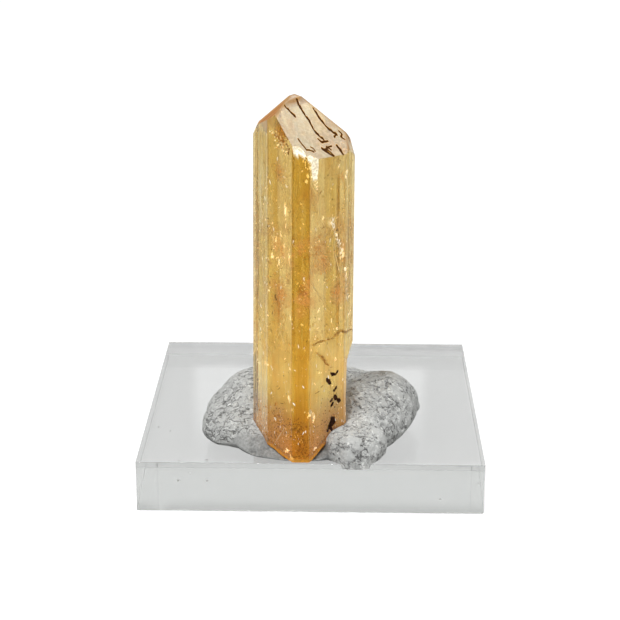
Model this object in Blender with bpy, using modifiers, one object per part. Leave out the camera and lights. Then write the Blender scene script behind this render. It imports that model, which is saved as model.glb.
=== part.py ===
"""Imperial topaz crystal, its broken end bedded in grey mounting putty on a clear acrylic block.

The origin is the centre of the block's underside. +X is to the viewer's right, -Y faces the viewer
and +Z is up. Three solids are made: acrylic_base, mounting_putty and topaz_crystal.
"""

import math
import random

import bmesh
import bpy
from mathutils import Matrix, Vector, noise

MM = 0.001

# Fits between the pieces
FIT_GAP = 0.3 * MM
WELD_DISTANCE = 0.001 * MM

# Acrylic block
BLOCK_SIDE = 38.1 * MM
BLOCK_THICKNESS = 5.8 * MM
BLOCK_EDGE = 0.15 * MM

# Crystal prism: each face is (compass angle of its outward normal in degrees, distance from the axis)
AXIS_X = -0.87 * MM
AXIS_Y = -13.4 * MM
PRISM_FACES = (
    (-90.0, 5.55 * MM),
    (-46.6, 4.575 * MM),
    (-26.0, 4.93 * MM),
    (28.0, 4.66 * MM),
    (46.6, 4.33 * MM),
    (90.0, 5.4 * MM),
    (133.4, 4.63 * MM),
    (151.0, 4.8 * MM),
    (206.9, 4.71 * MM),
    (226.6, 4.79 * MM),
)
PRISM_BOTTOM = 3.0 * MM
PRISM_TOP = 50.0 * MM

# Growth grooves along the prism, per face of ordinary width
GROOVES_PER_MM = 1.15
GROOVE_WIDTH = (0.12 * MM, 0.42 * MM)
GROOVE_DEPTH = (0.025 * MM, 0.085 * MM)
GROOVE_MARGIN = 0.09
OUTLINE_SEED = 11

# Termination planes: (slope in x, slope in y, height where x and y are 0), as z = h - sx * x - sy * y
FRONT_RIGHT_FACE = (0.808, -0.809, 54.88 * MM)
BACK_RIGHT_FACE = (0.808, 0.74, 34.42 * MM)
BACK_LEFT_FACE = (-0.868, 0.74, 37.6 * MM)
LEFT_FACE = (-0.868, 0.0, 47.29 * MM)
APEX_FACE = (0.02, -0.16, 47.2 * MM)
RIGHT_SHOULDER = (2.3, -0.5, 56.1 * MM)
LEFT_SHOULDER = (-2.2, 0.2, 52.15 * MM)
TERMINATION = (
    FRONT_RIGHT_FACE,
    BACK_RIGHT_FACE,
    LEFT_FACE,
    BACK_LEFT_FACE,
    APEX_FACE,
    RIGHT_SHOULDER,
    LEFT_SHOULDER,
)

# Broken lower end: a lip that nearly touches the block, rising to a cleavage step on each side
LIP_X = -1.45 * MM
LIP_Y = -18.95 * MM
LIP_Z = BLOCK_THICKNESS + FIT_GAP
LEFT_RISE = 0.3
LEFT_STEP = 0.9 * MM
RIGHT_RISE = 0.68
RIGHT_STEP = 2.3 * MM
SIDE_BLEND = 1.5 * MM
BREAK_ROUGHNESS = 0.18 * MM
BREAK_GRAIN = 1.6 * MM
BREAK_SPAN = 16.0 * MM
BREAK_CELLS = 18
BREAK_CUT_DEPTH = 8.0 * MM

# Lower right edge, where a slab of the crystal has come away
STEP_X = 3.6 * MM
STEP_TOP = 16.6 * MM
STEP_SIZE = (4.0 * MM, 12.0 * MM, 16.0 * MM)
STEP_LEAN = math.radians(9.0)
STEP_TOP_SLOPE = math.radians(68.0)

# Shell-shaped chips on the front corner: (centre, radii)
CHIPS = (
    ((0.75 * MM, -18.75 * MM, 39.0 * MM), (0.72 * MM, 0.62 * MM, 2.3 * MM)),
    ((-0.75 * MM, -19.25 * MM, 40.9 * MM), (1.3 * MM, 0.8 * MM, 0.95 * MM)),
    ((0.35 * MM, -19.0 * MM, 40.2 * MM), (0.8 * MM, 0.7 * MM, 0.9 * MM)),
    ((3.75 * MM, -15.25 * MM, 41.0 * MM), (0.7 * MM, 0.6 * MM, 0.5 * MM)),
    ((4.35 * MM, -13.3 * MM, 41.1 * MM), (0.6 * MM, 0.7 * MM, 0.6 * MM)),
    ((3.6 * MM, -13.6 * MM, 42.0 * MM), (0.55 * MM, 0.5 * MM, 0.4 * MM)),
)

# Etched channels across the front right face: plan points of each, on that face
CHANNEL_RADIUS = 0.15 * MM
CHANNEL_SINK = 0.02 * MM
CHANNELS = (
    ((-2.74, -15.53), (-1.78, -15.71)),
    ((-1.67, -13.66), (-1.41, -14.24), (-0.94, -14.65), (-0.37, -14.99), (0.45, -15.74), (1.16, -15.74)),
    ((0.17, -13.46), (0.66, -13.86), (1.3, -14.14), (1.79, -14.31), (2.59, -14.15)),
    ((1.1, -16.78), (2.3, -16.59)),
    ((2.6, -15.32), (3.32, -15.69)),
)

# Putty: squashed balls that run together, as (centre, radii)
PUTTY_BALLS = (
    ((0.1 * MM, -4.9 * MM, 6.3 * MM), (12.4 * MM, 11.4 * MM, 3.9 * MM)),
    ((-5.4 * MM, -6.4 * MM, 7.0 * MM), (5.2 * MM, 6.4 * MM, 4.4 * MM)),
    ((-8.2 * MM, -10.6 * MM, 6.4 * MM), (4.2 * MM, 4.0 * MM, 2.2 * MM)),
    ((7.9 * MM, -6.4 * MM, 6.8 * MM), (4.9 * MM, 6.6 * MM, 4.5 * MM)),
    ((6.6 * MM, -12.4 * MM, 6.8 * MM), (4.4 * MM, 4.6 * MM, 3.4 * MM)),
    ((5.3 * MM, -16.9 * MM, 6.9 * MM), (3.3 * MM, 3.15 * MM, 2.1 * MM)),
    ((-0.9 * MM, -12.0 * MM, 5.8 * MM), (7.8 * MM, 6.5 * MM, 1.75 * MM)),
)
PUTTY_VOXEL = 0.57 * MM
PUTTY_FLOOR = BLOCK_THICKNESS + FIT_GAP

# Putty relief: torn lumps on the right, small pimples on the left, a finger-smoothed wall in front
LUMP_SIZE = 1.75 * MM
LUMP_HEIGHT = 0.75 * MM
LUMP_LEVEL = 0.35
PIMPLE_SIZE = 1.15 * MM
PIMPLE_HEIGHT = 0.95 * MM
PIMPLE_LEVEL = 0.45
GRAIN_SIZE = 0.8 * MM
GRAIN_HEIGHT = 0.3 * MM
SIDE_CHANGE = 3.0 * MM
WALL_FRONT = -12.5 * MM
WALL_TOP = 8.0 * MM
WALL_BLEND = 1.2 * MM
KNOB_LEFT = 2.4 * MM
KNOB_BLEND = 0.8 * MM

# Finishes: colour, roughness, transmission, refractive index
TOPAZ_FINISH = ((0.83, 0.60, 0.27), 0.06, 0.9, 1.62)
PUTTY_FINISH = ((0.47, 0.47, 0.46), 0.85, 0.0, 1.45)
ACRYLIC_FINISH = ((0.93, 0.94, 0.94), 0.04, 1.0, 1.49)


def clear_scene():
    """Remove whatever the file opened with."""
    for thing in list(bpy.data.objects):
        bpy.data.objects.remove(thing, do_unlink=True)


def new_collection(name):
    collection = bpy.data.collections.new(name)
    bpy.context.scene.collection.children.link(collection)
    return collection


def finish(name, settings):
    """A surface material from its colour, roughness, transmission and refractive index."""
    colour, roughness, transmission, index = settings
    material = bpy.data.materials.new(name)
    material.use_nodes = True
    shader = material.node_tree.nodes["Principled BSDF"]
    shader.inputs["Base Color"].default_value = (*colour, 1.0)
    shader.inputs["Roughness"].default_value = roughness
    shader.inputs["Metallic"].default_value = 0.0
    shader.inputs["Transmission Weight"].default_value = transmission
    shader.inputs["IOR"].default_value = index
    material.diffuse_color = (*colour, 1.0)
    return material


def add_object(name, mesh, collection):
    thing = bpy.data.objects.new(name, mesh)
    collection.objects.link(thing)
    return thing


def object_from_bmesh(name, shape, collection):
    bmesh.ops.recalc_face_normals(shape, faces=shape.faces)
    mesh = bpy.data.meshes.new(name)
    shape.to_mesh(mesh)
    shape.free()
    return add_object(name, mesh, collection)


def as_cutter(thing):
    thing.hide_render = True
    thing.display_type = "WIRE"
    return thing


def take_away(thing, cutter):
    modifier = thing.modifiers.new(f"less {cutter.name}", "BOOLEAN")
    modifier.operation = "DIFFERENCE"
    modifier.solver = "EXACT"
    modifier.object = cutter


def mesh_of(thing):
    """The object's mesh with its modifiers applied, welded."""
    graph = bpy.context.evaluated_depsgraph_get()
    mesh = bpy.data.meshes.new_from_object(thing.evaluated_get(graph))
    shape = bmesh.new()
    shape.from_mesh(mesh)
    bmesh.ops.remove_doubles(shape, verts=shape.verts, dist=WELD_DISTANCE)
    shape.to_mesh(mesh)
    shape.free()
    return mesh


def smooth_step(value):
    clamped = min(max(value, 0.0), 1.0)
    return clamped * clamped * (3.0 - 2.0 * clamped)


def curve_to_mesh(name, curve, collection, placing):
    """Turn a curve into a closed mesh object at the given placing."""
    guide = bpy.data.objects.new(f"{name}_guide", curve)
    bpy.context.scene.collection.objects.link(guide)
    bpy.context.view_layer.update()
    mesh = mesh_of(guide)
    bpy.data.objects.remove(guide, do_unlink=True)
    shape = bmesh.new()
    shape.from_mesh(mesh)
    bmesh.ops.recalc_face_normals(shape, faces=shape.faces)
    shape.to_mesh(mesh)
    shape.free()
    thing = add_object(name, mesh, collection)
    thing.matrix_world = placing
    return thing


# The crystal's outline
def corner_between(first, second, offset):
    """Where two prism faces meet, seen from above, with both moved outwards by the offset."""
    angle_a, distance_a = math.radians(first[0]), first[1] + offset
    angle_b, distance_b = math.radians(second[0]), second[1] + offset
    scale = math.sin(angle_b - angle_a)
    x = (distance_a * math.sin(angle_b) - distance_b * math.sin(angle_a)) / scale
    y = (distance_b * math.cos(angle_a) - distance_a * math.cos(angle_b)) / scale
    return Vector((x, y))


def outline_corners(offset):
    count = len(PRISM_FACES)
    return [corner_between(PRISM_FACES[i - 1], PRISM_FACES[i], offset) for i in range(count)]


def grooved_outline():
    """The prism's outline with shallow growth grooves let into every face."""
    rng = random.Random(OUTLINE_SEED)
    corners = outline_corners(0.0)
    points = []
    for index, start in enumerate(corners):
        end = corners[(index + 1) % len(corners)]
        along = end - start
        length = along.length
        angle = math.radians(PRISM_FACES[index][0])
        outward = Vector((math.cos(angle), math.sin(angle)))
        points.append(start)
        count = max(1, round(length / MM * GROOVES_PER_MM))
        pitch = (1.0 - 2.0 * GROOVE_MARGIN) / count
        for groove in range(count):
            middle = GROOVE_MARGIN + pitch * (groove + rng.uniform(0.35, 0.65))
            half = min(rng.uniform(*GROOVE_WIDTH) / length, 0.6 * pitch) / 2.0
            depth = rng.uniform(*GROOVE_DEPTH)
            lowest = middle + rng.uniform(-0.5, 0.5) * half
            points.append(start + along * (middle - half))
            points.append(start + along * lowest - outward * depth)
            points.append(start + along * (middle + half))
    return points


def extruded_outline(name, points, bottom, top, collection):
    """A closed prism over a flat outline about the crystal's axis."""
    curve = bpy.data.curves.new(name, "CURVE")
    curve.dimensions = "2D"
    curve.fill_mode = "BOTH"
    curve.extrude = (top - bottom) / 2.0
    spline = curve.splines.new("POLY")
    spline.points.add(len(points) - 1)
    for place, point in zip(spline.points, points):
        place.co = (point.x, point.y, 0.0, 1.0)
    spline.use_cyclic_u = True
    middle = (top + bottom) / 2.0
    return curve_to_mesh(name, curve, collection, Matrix.Translation((AXIS_X, AXIS_Y, middle)))


def slice_and_close(shape, point, normal):
    """Remove what lies past a plane and close the cut with one flat face."""
    everything = shape.verts[:] + shape.edges[:] + shape.faces[:]
    cut = bmesh.ops.bisect_plane(
        shape, geom=everything, dist=WELD_DISTANCE, plane_co=point, plane_no=normal, clear_outer=True
    )
    edges = [piece for piece in cut["geom_cut"] if isinstance(piece, bmesh.types.BMEdge)]
    if edges:
        bmesh.ops.contextual_create(shape, geom=edges)


def cut_with_planes(thing, planes):
    """Slice the top of the prism along each termination plane and close every cut."""
    shape = bmesh.new()
    shape.from_mesh(thing.data)
    shape.transform(thing.matrix_world)
    for slope_x, slope_y, height in planes:
        normal = Vector((slope_x, slope_y, 1.0)).normalized()
        point = Vector((0.0, 0.0, height))
        slice_and_close(shape, point, normal)
    bmesh.ops.recalc_face_normals(shape, faces=shape.faces)
    shape.to_mesh(thing.data)
    shape.free()
    thing.matrix_world = Matrix.Identity(4)


def break_height(x, y):
    """Height of the crystal's broken lower surface above the origin."""
    distance = math.hypot(x - LIP_X, y - LIP_Y)
    side = smooth_step((x - LIP_X) / SIDE_BLEND)
    rise = LEFT_RISE + (RIGHT_RISE - LEFT_RISE) * side
    step = LEFT_STEP + (RIGHT_STEP - LEFT_STEP) * side
    grain = noise.noise(Vector((x, y, 0.0)) / BREAK_GRAIN) * BREAK_ROUGHNESS
    return LIP_Z + min(rise * distance, step) + grain * min(distance / MM, 1.0)


def break_cutter(name, offset, collection):
    """Everything below the crystal's broken surface, lowered by the offset."""
    shape = bmesh.new()
    bmesh.ops.create_grid(shape, x_segments=BREAK_CELLS, y_segments=BREAK_CELLS, size=BREAK_SPAN / 2.0)
    bmesh.ops.translate(shape, verts=shape.verts, vec=(AXIS_X, AXIS_Y, 0.0))
    for vertex in shape.verts:
        vertex.co.z = break_height(vertex.co.x, vertex.co.y) - offset
    raised = bmesh.ops.extrude_face_region(shape, geom=shape.faces[:])
    for piece in raised["geom"]:
        if isinstance(piece, bmesh.types.BMVert):
            piece.co.z = LIP_Z - BREAK_CUT_DEPTH
    return as_cutter(object_from_bmesh(name, shape, collection))


def ball_cutter(name, centre, radii, collection):
    shape = bmesh.new()
    bmesh.ops.create_icosphere(shape, subdivisions=2, radius=1.0)
    bmesh.ops.scale(shape, verts=shape.verts, vec=radii)
    bmesh.ops.translate(shape, verts=shape.verts, vec=centre)
    return as_cutter(object_from_bmesh(name, shape, collection))


def step_cutter(name, offset, collection):
    """The missing slab at the crystal's lower right edge, with a sloping top."""
    shape = bmesh.new()
    bmesh.ops.create_cube(shape, size=1.0)
    bmesh.ops.scale(shape, verts=shape.verts, vec=STEP_SIZE)
    width, _, height = STEP_SIZE
    top_slope = math.tan(STEP_TOP_SLOPE)
    for vertex in shape.verts:
        if vertex.co.z > 0.0:
            vertex.co.z += (vertex.co.x + width / 2.0) * top_slope
    bmesh.ops.rotate(shape, verts=shape.verts, cent=(0.0, 0.0, height / 2.0),
                     matrix=Matrix.Rotation(STEP_LEAN, 3, "Z"))
    place = (STEP_X + offset + width / 2.0, AXIS_Y, STEP_TOP - offset - height / 2.0)
    bmesh.ops.translate(shape, verts=shape.verts, vec=place)
    return as_cutter(object_from_bmesh(name, shape, collection))


def face_height(plane, x, y):
    slope_x, slope_y, height = plane
    return height - slope_x * x - slope_y * y


def channel_cutter(name, plan_points, collection):
    """A thin bar that lies along an etched channel of the front right face."""
    curve = bpy.data.curves.new(name, "CURVE")
    curve.dimensions = "3D"
    curve.bevel_depth = CHANNEL_RADIUS
    curve.bevel_resolution = 1
    curve.use_fill_caps = True
    spline = curve.splines.new("POLY")
    spline.points.add(len(plan_points) - 1)
    for place, (x, y) in zip(spline.points, plan_points):
        z = face_height(FRONT_RIGHT_FACE, x * MM, y * MM) + CHANNEL_SINK
        place.co = (x * MM, y * MM, z, 1.0)
    return as_cutter(curve_to_mesh(name, curve, collection, Matrix.Identity(4)))


def build_crystal(collection, cutters):
    crystal = extruded_outline("topaz_crystal", grooved_outline(), PRISM_BOTTOM, PRISM_TOP, collection)
    cut_with_planes(crystal, TERMINATION)
    take_away(crystal, break_cutter("broken_end_cutter", 0.0, cutters))
    take_away(crystal, step_cutter("edge_step_cutter", 0.0, cutters))
    for index, (centre, radii) in enumerate(CHIPS):
        take_away(crystal, ball_cutter(f"chip_cutter_{index + 1}", centre, radii, cutters))
    for index, plan_points in enumerate(CHANNELS):
        take_away(crystal, channel_cutter(f"channel_cutter_{index + 1}", plan_points, cutters))
    crystal.data.materials.append(finish("imperial_topaz", TOPAZ_FINISH))
    return crystal


# The putty
def putty_balls():
    """The squashed balls as one loose mesh, for the voxel remesh to fuse."""
    shape = bmesh.new()
    for centre, radii in PUTTY_BALLS:
        made = bmesh.ops.create_uvsphere(shape, u_segments=32, v_segments=20, radius=1.0)
        bmesh.ops.scale(shape, verts=made["verts"], vec=radii)
        bmesh.ops.translate(shape, verts=made["verts"], vec=centre)
    return shape


def relief(point):
    """How far the putty's surface stands out at a point, from its torn lumps and pimples."""
    nearest, following = noise.voronoi(point / LUMP_SIZE)[0][:2]
    lump = (following - nearest - LUMP_LEVEL) * LUMP_HEIGHT
    pimple = (PIMPLE_LEVEL - noise.voronoi(point / PIMPLE_SIZE)[0][0]) * PIMPLE_HEIGHT
    grain = noise.noise(point / GRAIN_SIZE) * GRAIN_HEIGHT
    right = smooth_step(point.x / SIDE_CHANGE)
    rough = lump * right + pimple * (1.0 - right) + grain
    in_front = smooth_step((WALL_FRONT - point.y) / WALL_BLEND)
    below = smooth_step((WALL_TOP - point.z) / WALL_BLEND + 1.0)
    off_knob = smooth_step((KNOB_LEFT - point.x) / KNOB_BLEND)
    return rough * (1.0 - in_front * below * off_knob)


def build_putty(collection, cutters):
    balls = object_from_bmesh("putty_balls", putty_balls(), cutters)
    fuse = balls.modifiers.new("fuse", "REMESH")
    fuse.mode = "VOXEL"
    fuse.voxel_size = PUTTY_VOXEL
    bpy.context.view_layer.update()
    mesh = mesh_of(balls)
    bpy.data.objects.remove(balls, do_unlink=True)
    shape = bmesh.new()
    shape.from_mesh(mesh)
    shape.normal_update()
    moves = [vertex.normal * relief(vertex.co) for vertex in shape.verts]
    for vertex, move in zip(shape.verts, moves):
        vertex.co += move
    slice_and_close(shape, Vector((0.0, 0.0, PUTTY_FLOOR)), Vector((0.0, 0.0, -1.0)))
    putty = object_from_bmesh("mounting_putty", shape, collection)
    socket = extruded_outline("socket_cutter", outline_corners(FIT_GAP), PRISM_BOTTOM, PRISM_TOP, cutters)
    as_cutter(socket)
    take_away(socket, break_cutter("socket_floor_cutter", FIT_GAP, cutters))
    take_away(socket, step_cutter("socket_step_cutter", FIT_GAP, cutters))
    take_away(putty, socket)
    putty.data.materials.append(finish("grey_putty", PUTTY_FINISH))
    return putty


# The acrylic block
def build_block(collection):
    shape = bmesh.new()
    bmesh.ops.create_cube(shape, size=1.0)
    bmesh.ops.scale(shape, verts=shape.verts, vec=(BLOCK_SIDE, BLOCK_SIDE, BLOCK_THICKNESS))
    bmesh.ops.translate(shape, verts=shape.verts, vec=(0.0, 0.0, BLOCK_THICKNESS / 2.0))
    block = object_from_bmesh("acrylic_base", shape, collection)
    rounding = block.modifiers.new("polished edges", "BEVEL")
    rounding.width = BLOCK_EDGE
    rounding.segments = 2
    block.data.materials.append(finish("clear_acrylic", ACRYLIC_FINISH))
    return block


def main():
    clear_scene()
    parts = new_collection("imperial_topaz_crystal")
    cutters = new_collection("cutters")
    cutters.hide_render = True
    build_block(parts)
    build_putty(parts, cutters)
    build_crystal(parts, cutters)


main()
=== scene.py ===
"""Imperial topaz crystal bedded in grey putty on a clear acrylic block: surfaces, glass, stains and light.

Shapes are worked out on grids in millimetres and become metres as their mesh is made. The origin is the
centre of the block's underside, +X is to the viewer's right, -Y faces the viewer and +Z is up.
"""

import itertools
import logging
import math
from dataclasses import dataclass
from enum import Enum
from typing import Optional, Union

import bpy
import numpy as np
from mathutils import Matrix, Vector
from numpy.typing import NDArray


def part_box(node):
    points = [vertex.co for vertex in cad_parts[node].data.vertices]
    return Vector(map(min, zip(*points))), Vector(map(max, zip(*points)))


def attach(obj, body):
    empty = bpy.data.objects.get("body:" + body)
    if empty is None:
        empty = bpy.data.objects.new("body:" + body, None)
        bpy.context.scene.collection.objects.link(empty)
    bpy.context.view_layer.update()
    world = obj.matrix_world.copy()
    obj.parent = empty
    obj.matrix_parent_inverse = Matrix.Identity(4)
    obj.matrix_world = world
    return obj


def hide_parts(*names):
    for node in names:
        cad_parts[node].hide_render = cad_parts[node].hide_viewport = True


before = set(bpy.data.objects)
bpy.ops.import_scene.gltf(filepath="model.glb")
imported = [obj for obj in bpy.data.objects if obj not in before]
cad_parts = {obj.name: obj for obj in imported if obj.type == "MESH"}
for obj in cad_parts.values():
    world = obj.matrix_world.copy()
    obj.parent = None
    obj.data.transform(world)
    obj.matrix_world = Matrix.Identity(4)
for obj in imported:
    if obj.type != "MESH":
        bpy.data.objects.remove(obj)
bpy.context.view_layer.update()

Array = NDArray[np.float64]
Index = NDArray[np.int64]
Colour = tuple[float, float, float]
Place = tuple[float, float, float]
Face = tuple[float, float]
Plane = tuple[float, float, float]

MM = 0.001
FAR = 99.0
BODY = "root"
IMAGE_PIXELS = 620

log = logging.getLogger("topaz")


class Slot(Enum):
    """The record's material slots."""

    TOPAZ = "imperial_topaz"
    PUTTY = "grey_putty"
    ACRYLIC = "clear_acrylic"


# Numbers on arrays


def smooth_step(value: Array, low: float = 0.0, high: float = 1.0) -> Array:
    """Rise from 0 at low to 1 at high along 3t² - 2t³."""
    t = np.clip((value - low) / (high - low), 0.0, 1.0)
    return t * t * (3.0 - 2.0 * t)


def hashed(cell: Array, seed: int) -> Array:
    """Give each whole-number cell one number from 0 to 1.

    The axes are multiplied by large odd numbers and mixed by shifts and exclusive ors in 32 bits.

    Args:
        cell: whole numbers, the last axis being the cell's coordinates.
        seed: picks another set of numbers.

    Returns:
        One number per cell.
    """
    mixed = np.full(cell.shape[:-1], (seed * 2654435761 + 97) % 2**32, np.uint32)
    for axis in range(cell.shape[-1]):
        along = cell[..., axis].astype(np.int64).astype(np.uint32)
        mixed = (mixed ^ (along * np.uint32(374761393 + 2 * axis))) * np.uint32(2246822519)
        mixed ^= mixed >> np.uint32(15)
        mixed = mixed * np.uint32(3266489917)
        mixed ^= mixed >> np.uint32(13)
    return mixed / 2.0**32


def value_noise(points: Array, seed: int) -> Array:
    """Smooth noise from -1 to 1: numbers at whole coordinates, blended by 3t² - 2t³ on each axis."""
    base = np.floor(points)
    t = smooth_step(points - base)
    total = np.zeros(points.shape[:-1])
    for corner in itertools.product((0, 1), repeat=points.shape[-1]):
        weight = np.prod(np.where(np.array(corner) == 1, t, 1.0 - t), axis=-1)
        total += weight * hashed(base + np.array(corner), seed)
    return 2.0 * total - 1.0


def fractal_noise(points: Array, seed: int, octaves: int = 3) -> Array:
    """Value noise summed over octaves, each twice as fine and half as strong."""
    total = np.zeros(points.shape[:-1])
    for octave in range(octaves):
        total += value_noise(points * 2.0**octave, seed + 31 * octave) / 2.0**octave
    return total


def nearest_seed(points: Array, seed: int) -> tuple[Array, Array]:
    """Find the nearest of one point strewn in each unit cell.

    Args:
        points: places in cell units.
        seed: picks another strewing.

    Returns:
        The distance to it, and a random number of its own from 0 to 1.
    """
    axes = points.shape[-1]
    base = np.floor(points)
    best = np.full(points.shape[:-1], FAR)
    mark = np.zeros(points.shape[:-1])
    for step in itertools.product((-1, 0, 1), repeat=axes):
        cell = base + np.array(step)
        place = cell + np.stack([hashed(cell, seed + 7 * axis) for axis in range(axes)], axis=-1)
        distance = np.linalg.norm(points - place, axis=-1)
        closer = distance < best
        best = np.where(closer, distance, best)
        mark = np.where(closer, hashed(cell, seed + 101), mark)
    return best, mark


def unit(vectors: Array) -> Array:
    """Scale vectors to length 1."""
    return vectors / np.maximum(np.linalg.norm(vectors, axis=-1, keepdims=True), 1e-12)


def raised(plan: Array, height: Array) -> Array:
    """Give plan points a height each."""
    return np.concatenate([plan, height[..., None]], -1)


# Meshes


def tube_triangles(rows: int, columns: int, split: Optional[NDArray[np.bool_]] = None) -> Index:
    """Triangles of a closed tube: its columns run round, and a pole closes it at its first and its last row.

    Args:
        rows: number of grid rows.
        columns: number of grid columns.
        split: for each quad, whether its diagonal runs the other way.

    Returns:
        Vertex numbers, three to a triangle. The poles are the two vertices after the grid.
    """
    grid = np.arange(rows * columns).reshape(rows, columns)
    a, d = grid[:-1], grid[1:]
    b, c = np.roll(a, -1, axis=1), np.roll(d, -1, axis=1)
    if split is None:
        split = np.zeros(a.shape, bool)
    first = np.where(split[..., None], np.stack([a, b, d], -1), np.stack([a, b, c], -1))
    second = np.where(split[..., None], np.stack([b, c, d], -1), np.stack([a, c, d], -1))
    top = np.full(columns, rows * columns)
    low = top + 1
    fan_top = np.stack([top, np.roll(grid[0], -1), grid[0]], -1)
    fan_low = np.stack([low, grid[-1], np.roll(grid[-1], -1)], -1)
    return np.concatenate([first.reshape(-1, 3), second.reshape(-1, 3), fan_top, fan_low])


def outward(points: Array, triangles: Index) -> Index:
    """Turn all triangles round if the solid that they enclose has a negative volume."""
    volume = np.linalg.det(points[triangles] - points.mean(0)).sum()
    return triangles[:, ::-1] if volume < 0.0 else triangles


def make_piece(
    name: str,
    points: Array,
    triangles: Index,
    material: bpy.types.Material,
    attributes: Optional[dict[str, Array]] = None,
    crease: Optional[float] = 35.0,
) -> bpy.types.Object:
    """Make a piece that rides on the body.

    Args:
        name: the piece's name.
        points: vertex places in millimetres.
        triangles: vertex numbers, three to a triangle.
        material: its finish.
        attributes: named numbers per vertex that the finish reads.
        crease: angle in degrees past which an edge is sharp, or None for flat faces.

    Returns:
        The finished object.
    """
    triangles = outward(points, triangles)
    mesh = bpy.data.meshes.new(name)
    mesh.vertices.add(len(points))
    mesh.vertices.foreach_set("co", (points * MM).astype(np.float32).ravel())
    mesh.loops.add(triangles.size)
    mesh.loops.foreach_set("vertex_index", triangles.astype(np.int32).ravel())
    mesh.polygons.add(len(triangles))
    mesh.polygons.foreach_set("loop_start", np.arange(0, triangles.size, 3, dtype=np.int32))
    mesh.update(calc_edges=True)
    mesh.validate()
    for key, values in (attributes or {}).items():
        layer = mesh.attributes.new(key, "FLOAT", "POINT")
        layer.data.foreach_set("value", values.astype(np.float32).ravel())
    mesh.polygons.foreach_set("use_smooth", np.full(len(mesh.polygons), crease is not None))
    if crease is not None:
        mesh.set_sharp_from_angle(angle=math.radians(crease))
    mesh.materials.append(material)
    thing = bpy.data.objects.new(name, mesh)
    bpy.context.scene.collection.objects.link(thing)
    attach(thing, BODY)
    log.info("%s: %d triangles", name, len(triangles))
    return thing


# Shader maths


class Wire:
    """A shader socket that adds Math nodes where it is used in an expression."""

    def __init__(self, shader: "Shader", socket: bpy.types.NodeSocket) -> None:
        """Wrap a socket of a shader."""
        self.shader = shader
        self.socket = socket

    def __add__(self, other: "Number") -> "Wire":
        """Sum."""
        return self.shader.math("ADD", self, other)

    __radd__ = __add__

    def __sub__(self, other: "Number") -> "Wire":
        """Difference."""
        return self.shader.math("SUBTRACT", self, other)

    def __rsub__(self, other: "Number") -> "Wire":
        """Difference from a number."""
        return self.shader.math("SUBTRACT", other, self)

    def __mul__(self, other: "Number") -> "Wire":
        """Product."""
        return self.shader.math("MULTIPLY", self, other)

    __rmul__ = __mul__

    def __truediv__(self, other: "Number") -> "Wire":
        """Quotient."""
        return self.shader.math("DIVIDE", self, other)

    def __pow__(self, other: "Number") -> "Wire":
        """Power."""
        return self.shader.math("POWER", self, other)

    def step(self, low: float, high: float) -> "Wire":
        """Smooth rise from 0 at low to 1 at high."""
        sockets = {"Value": self, "From Min": low, "From Max": high, "To Min": 0.0, "To Max": 1.0}
        return self.shader.node("ShaderNodeMapRange", {"interpolation_type": "SMOOTHSTEP"}, sockets)


Number = Union[Wire, float]


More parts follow.
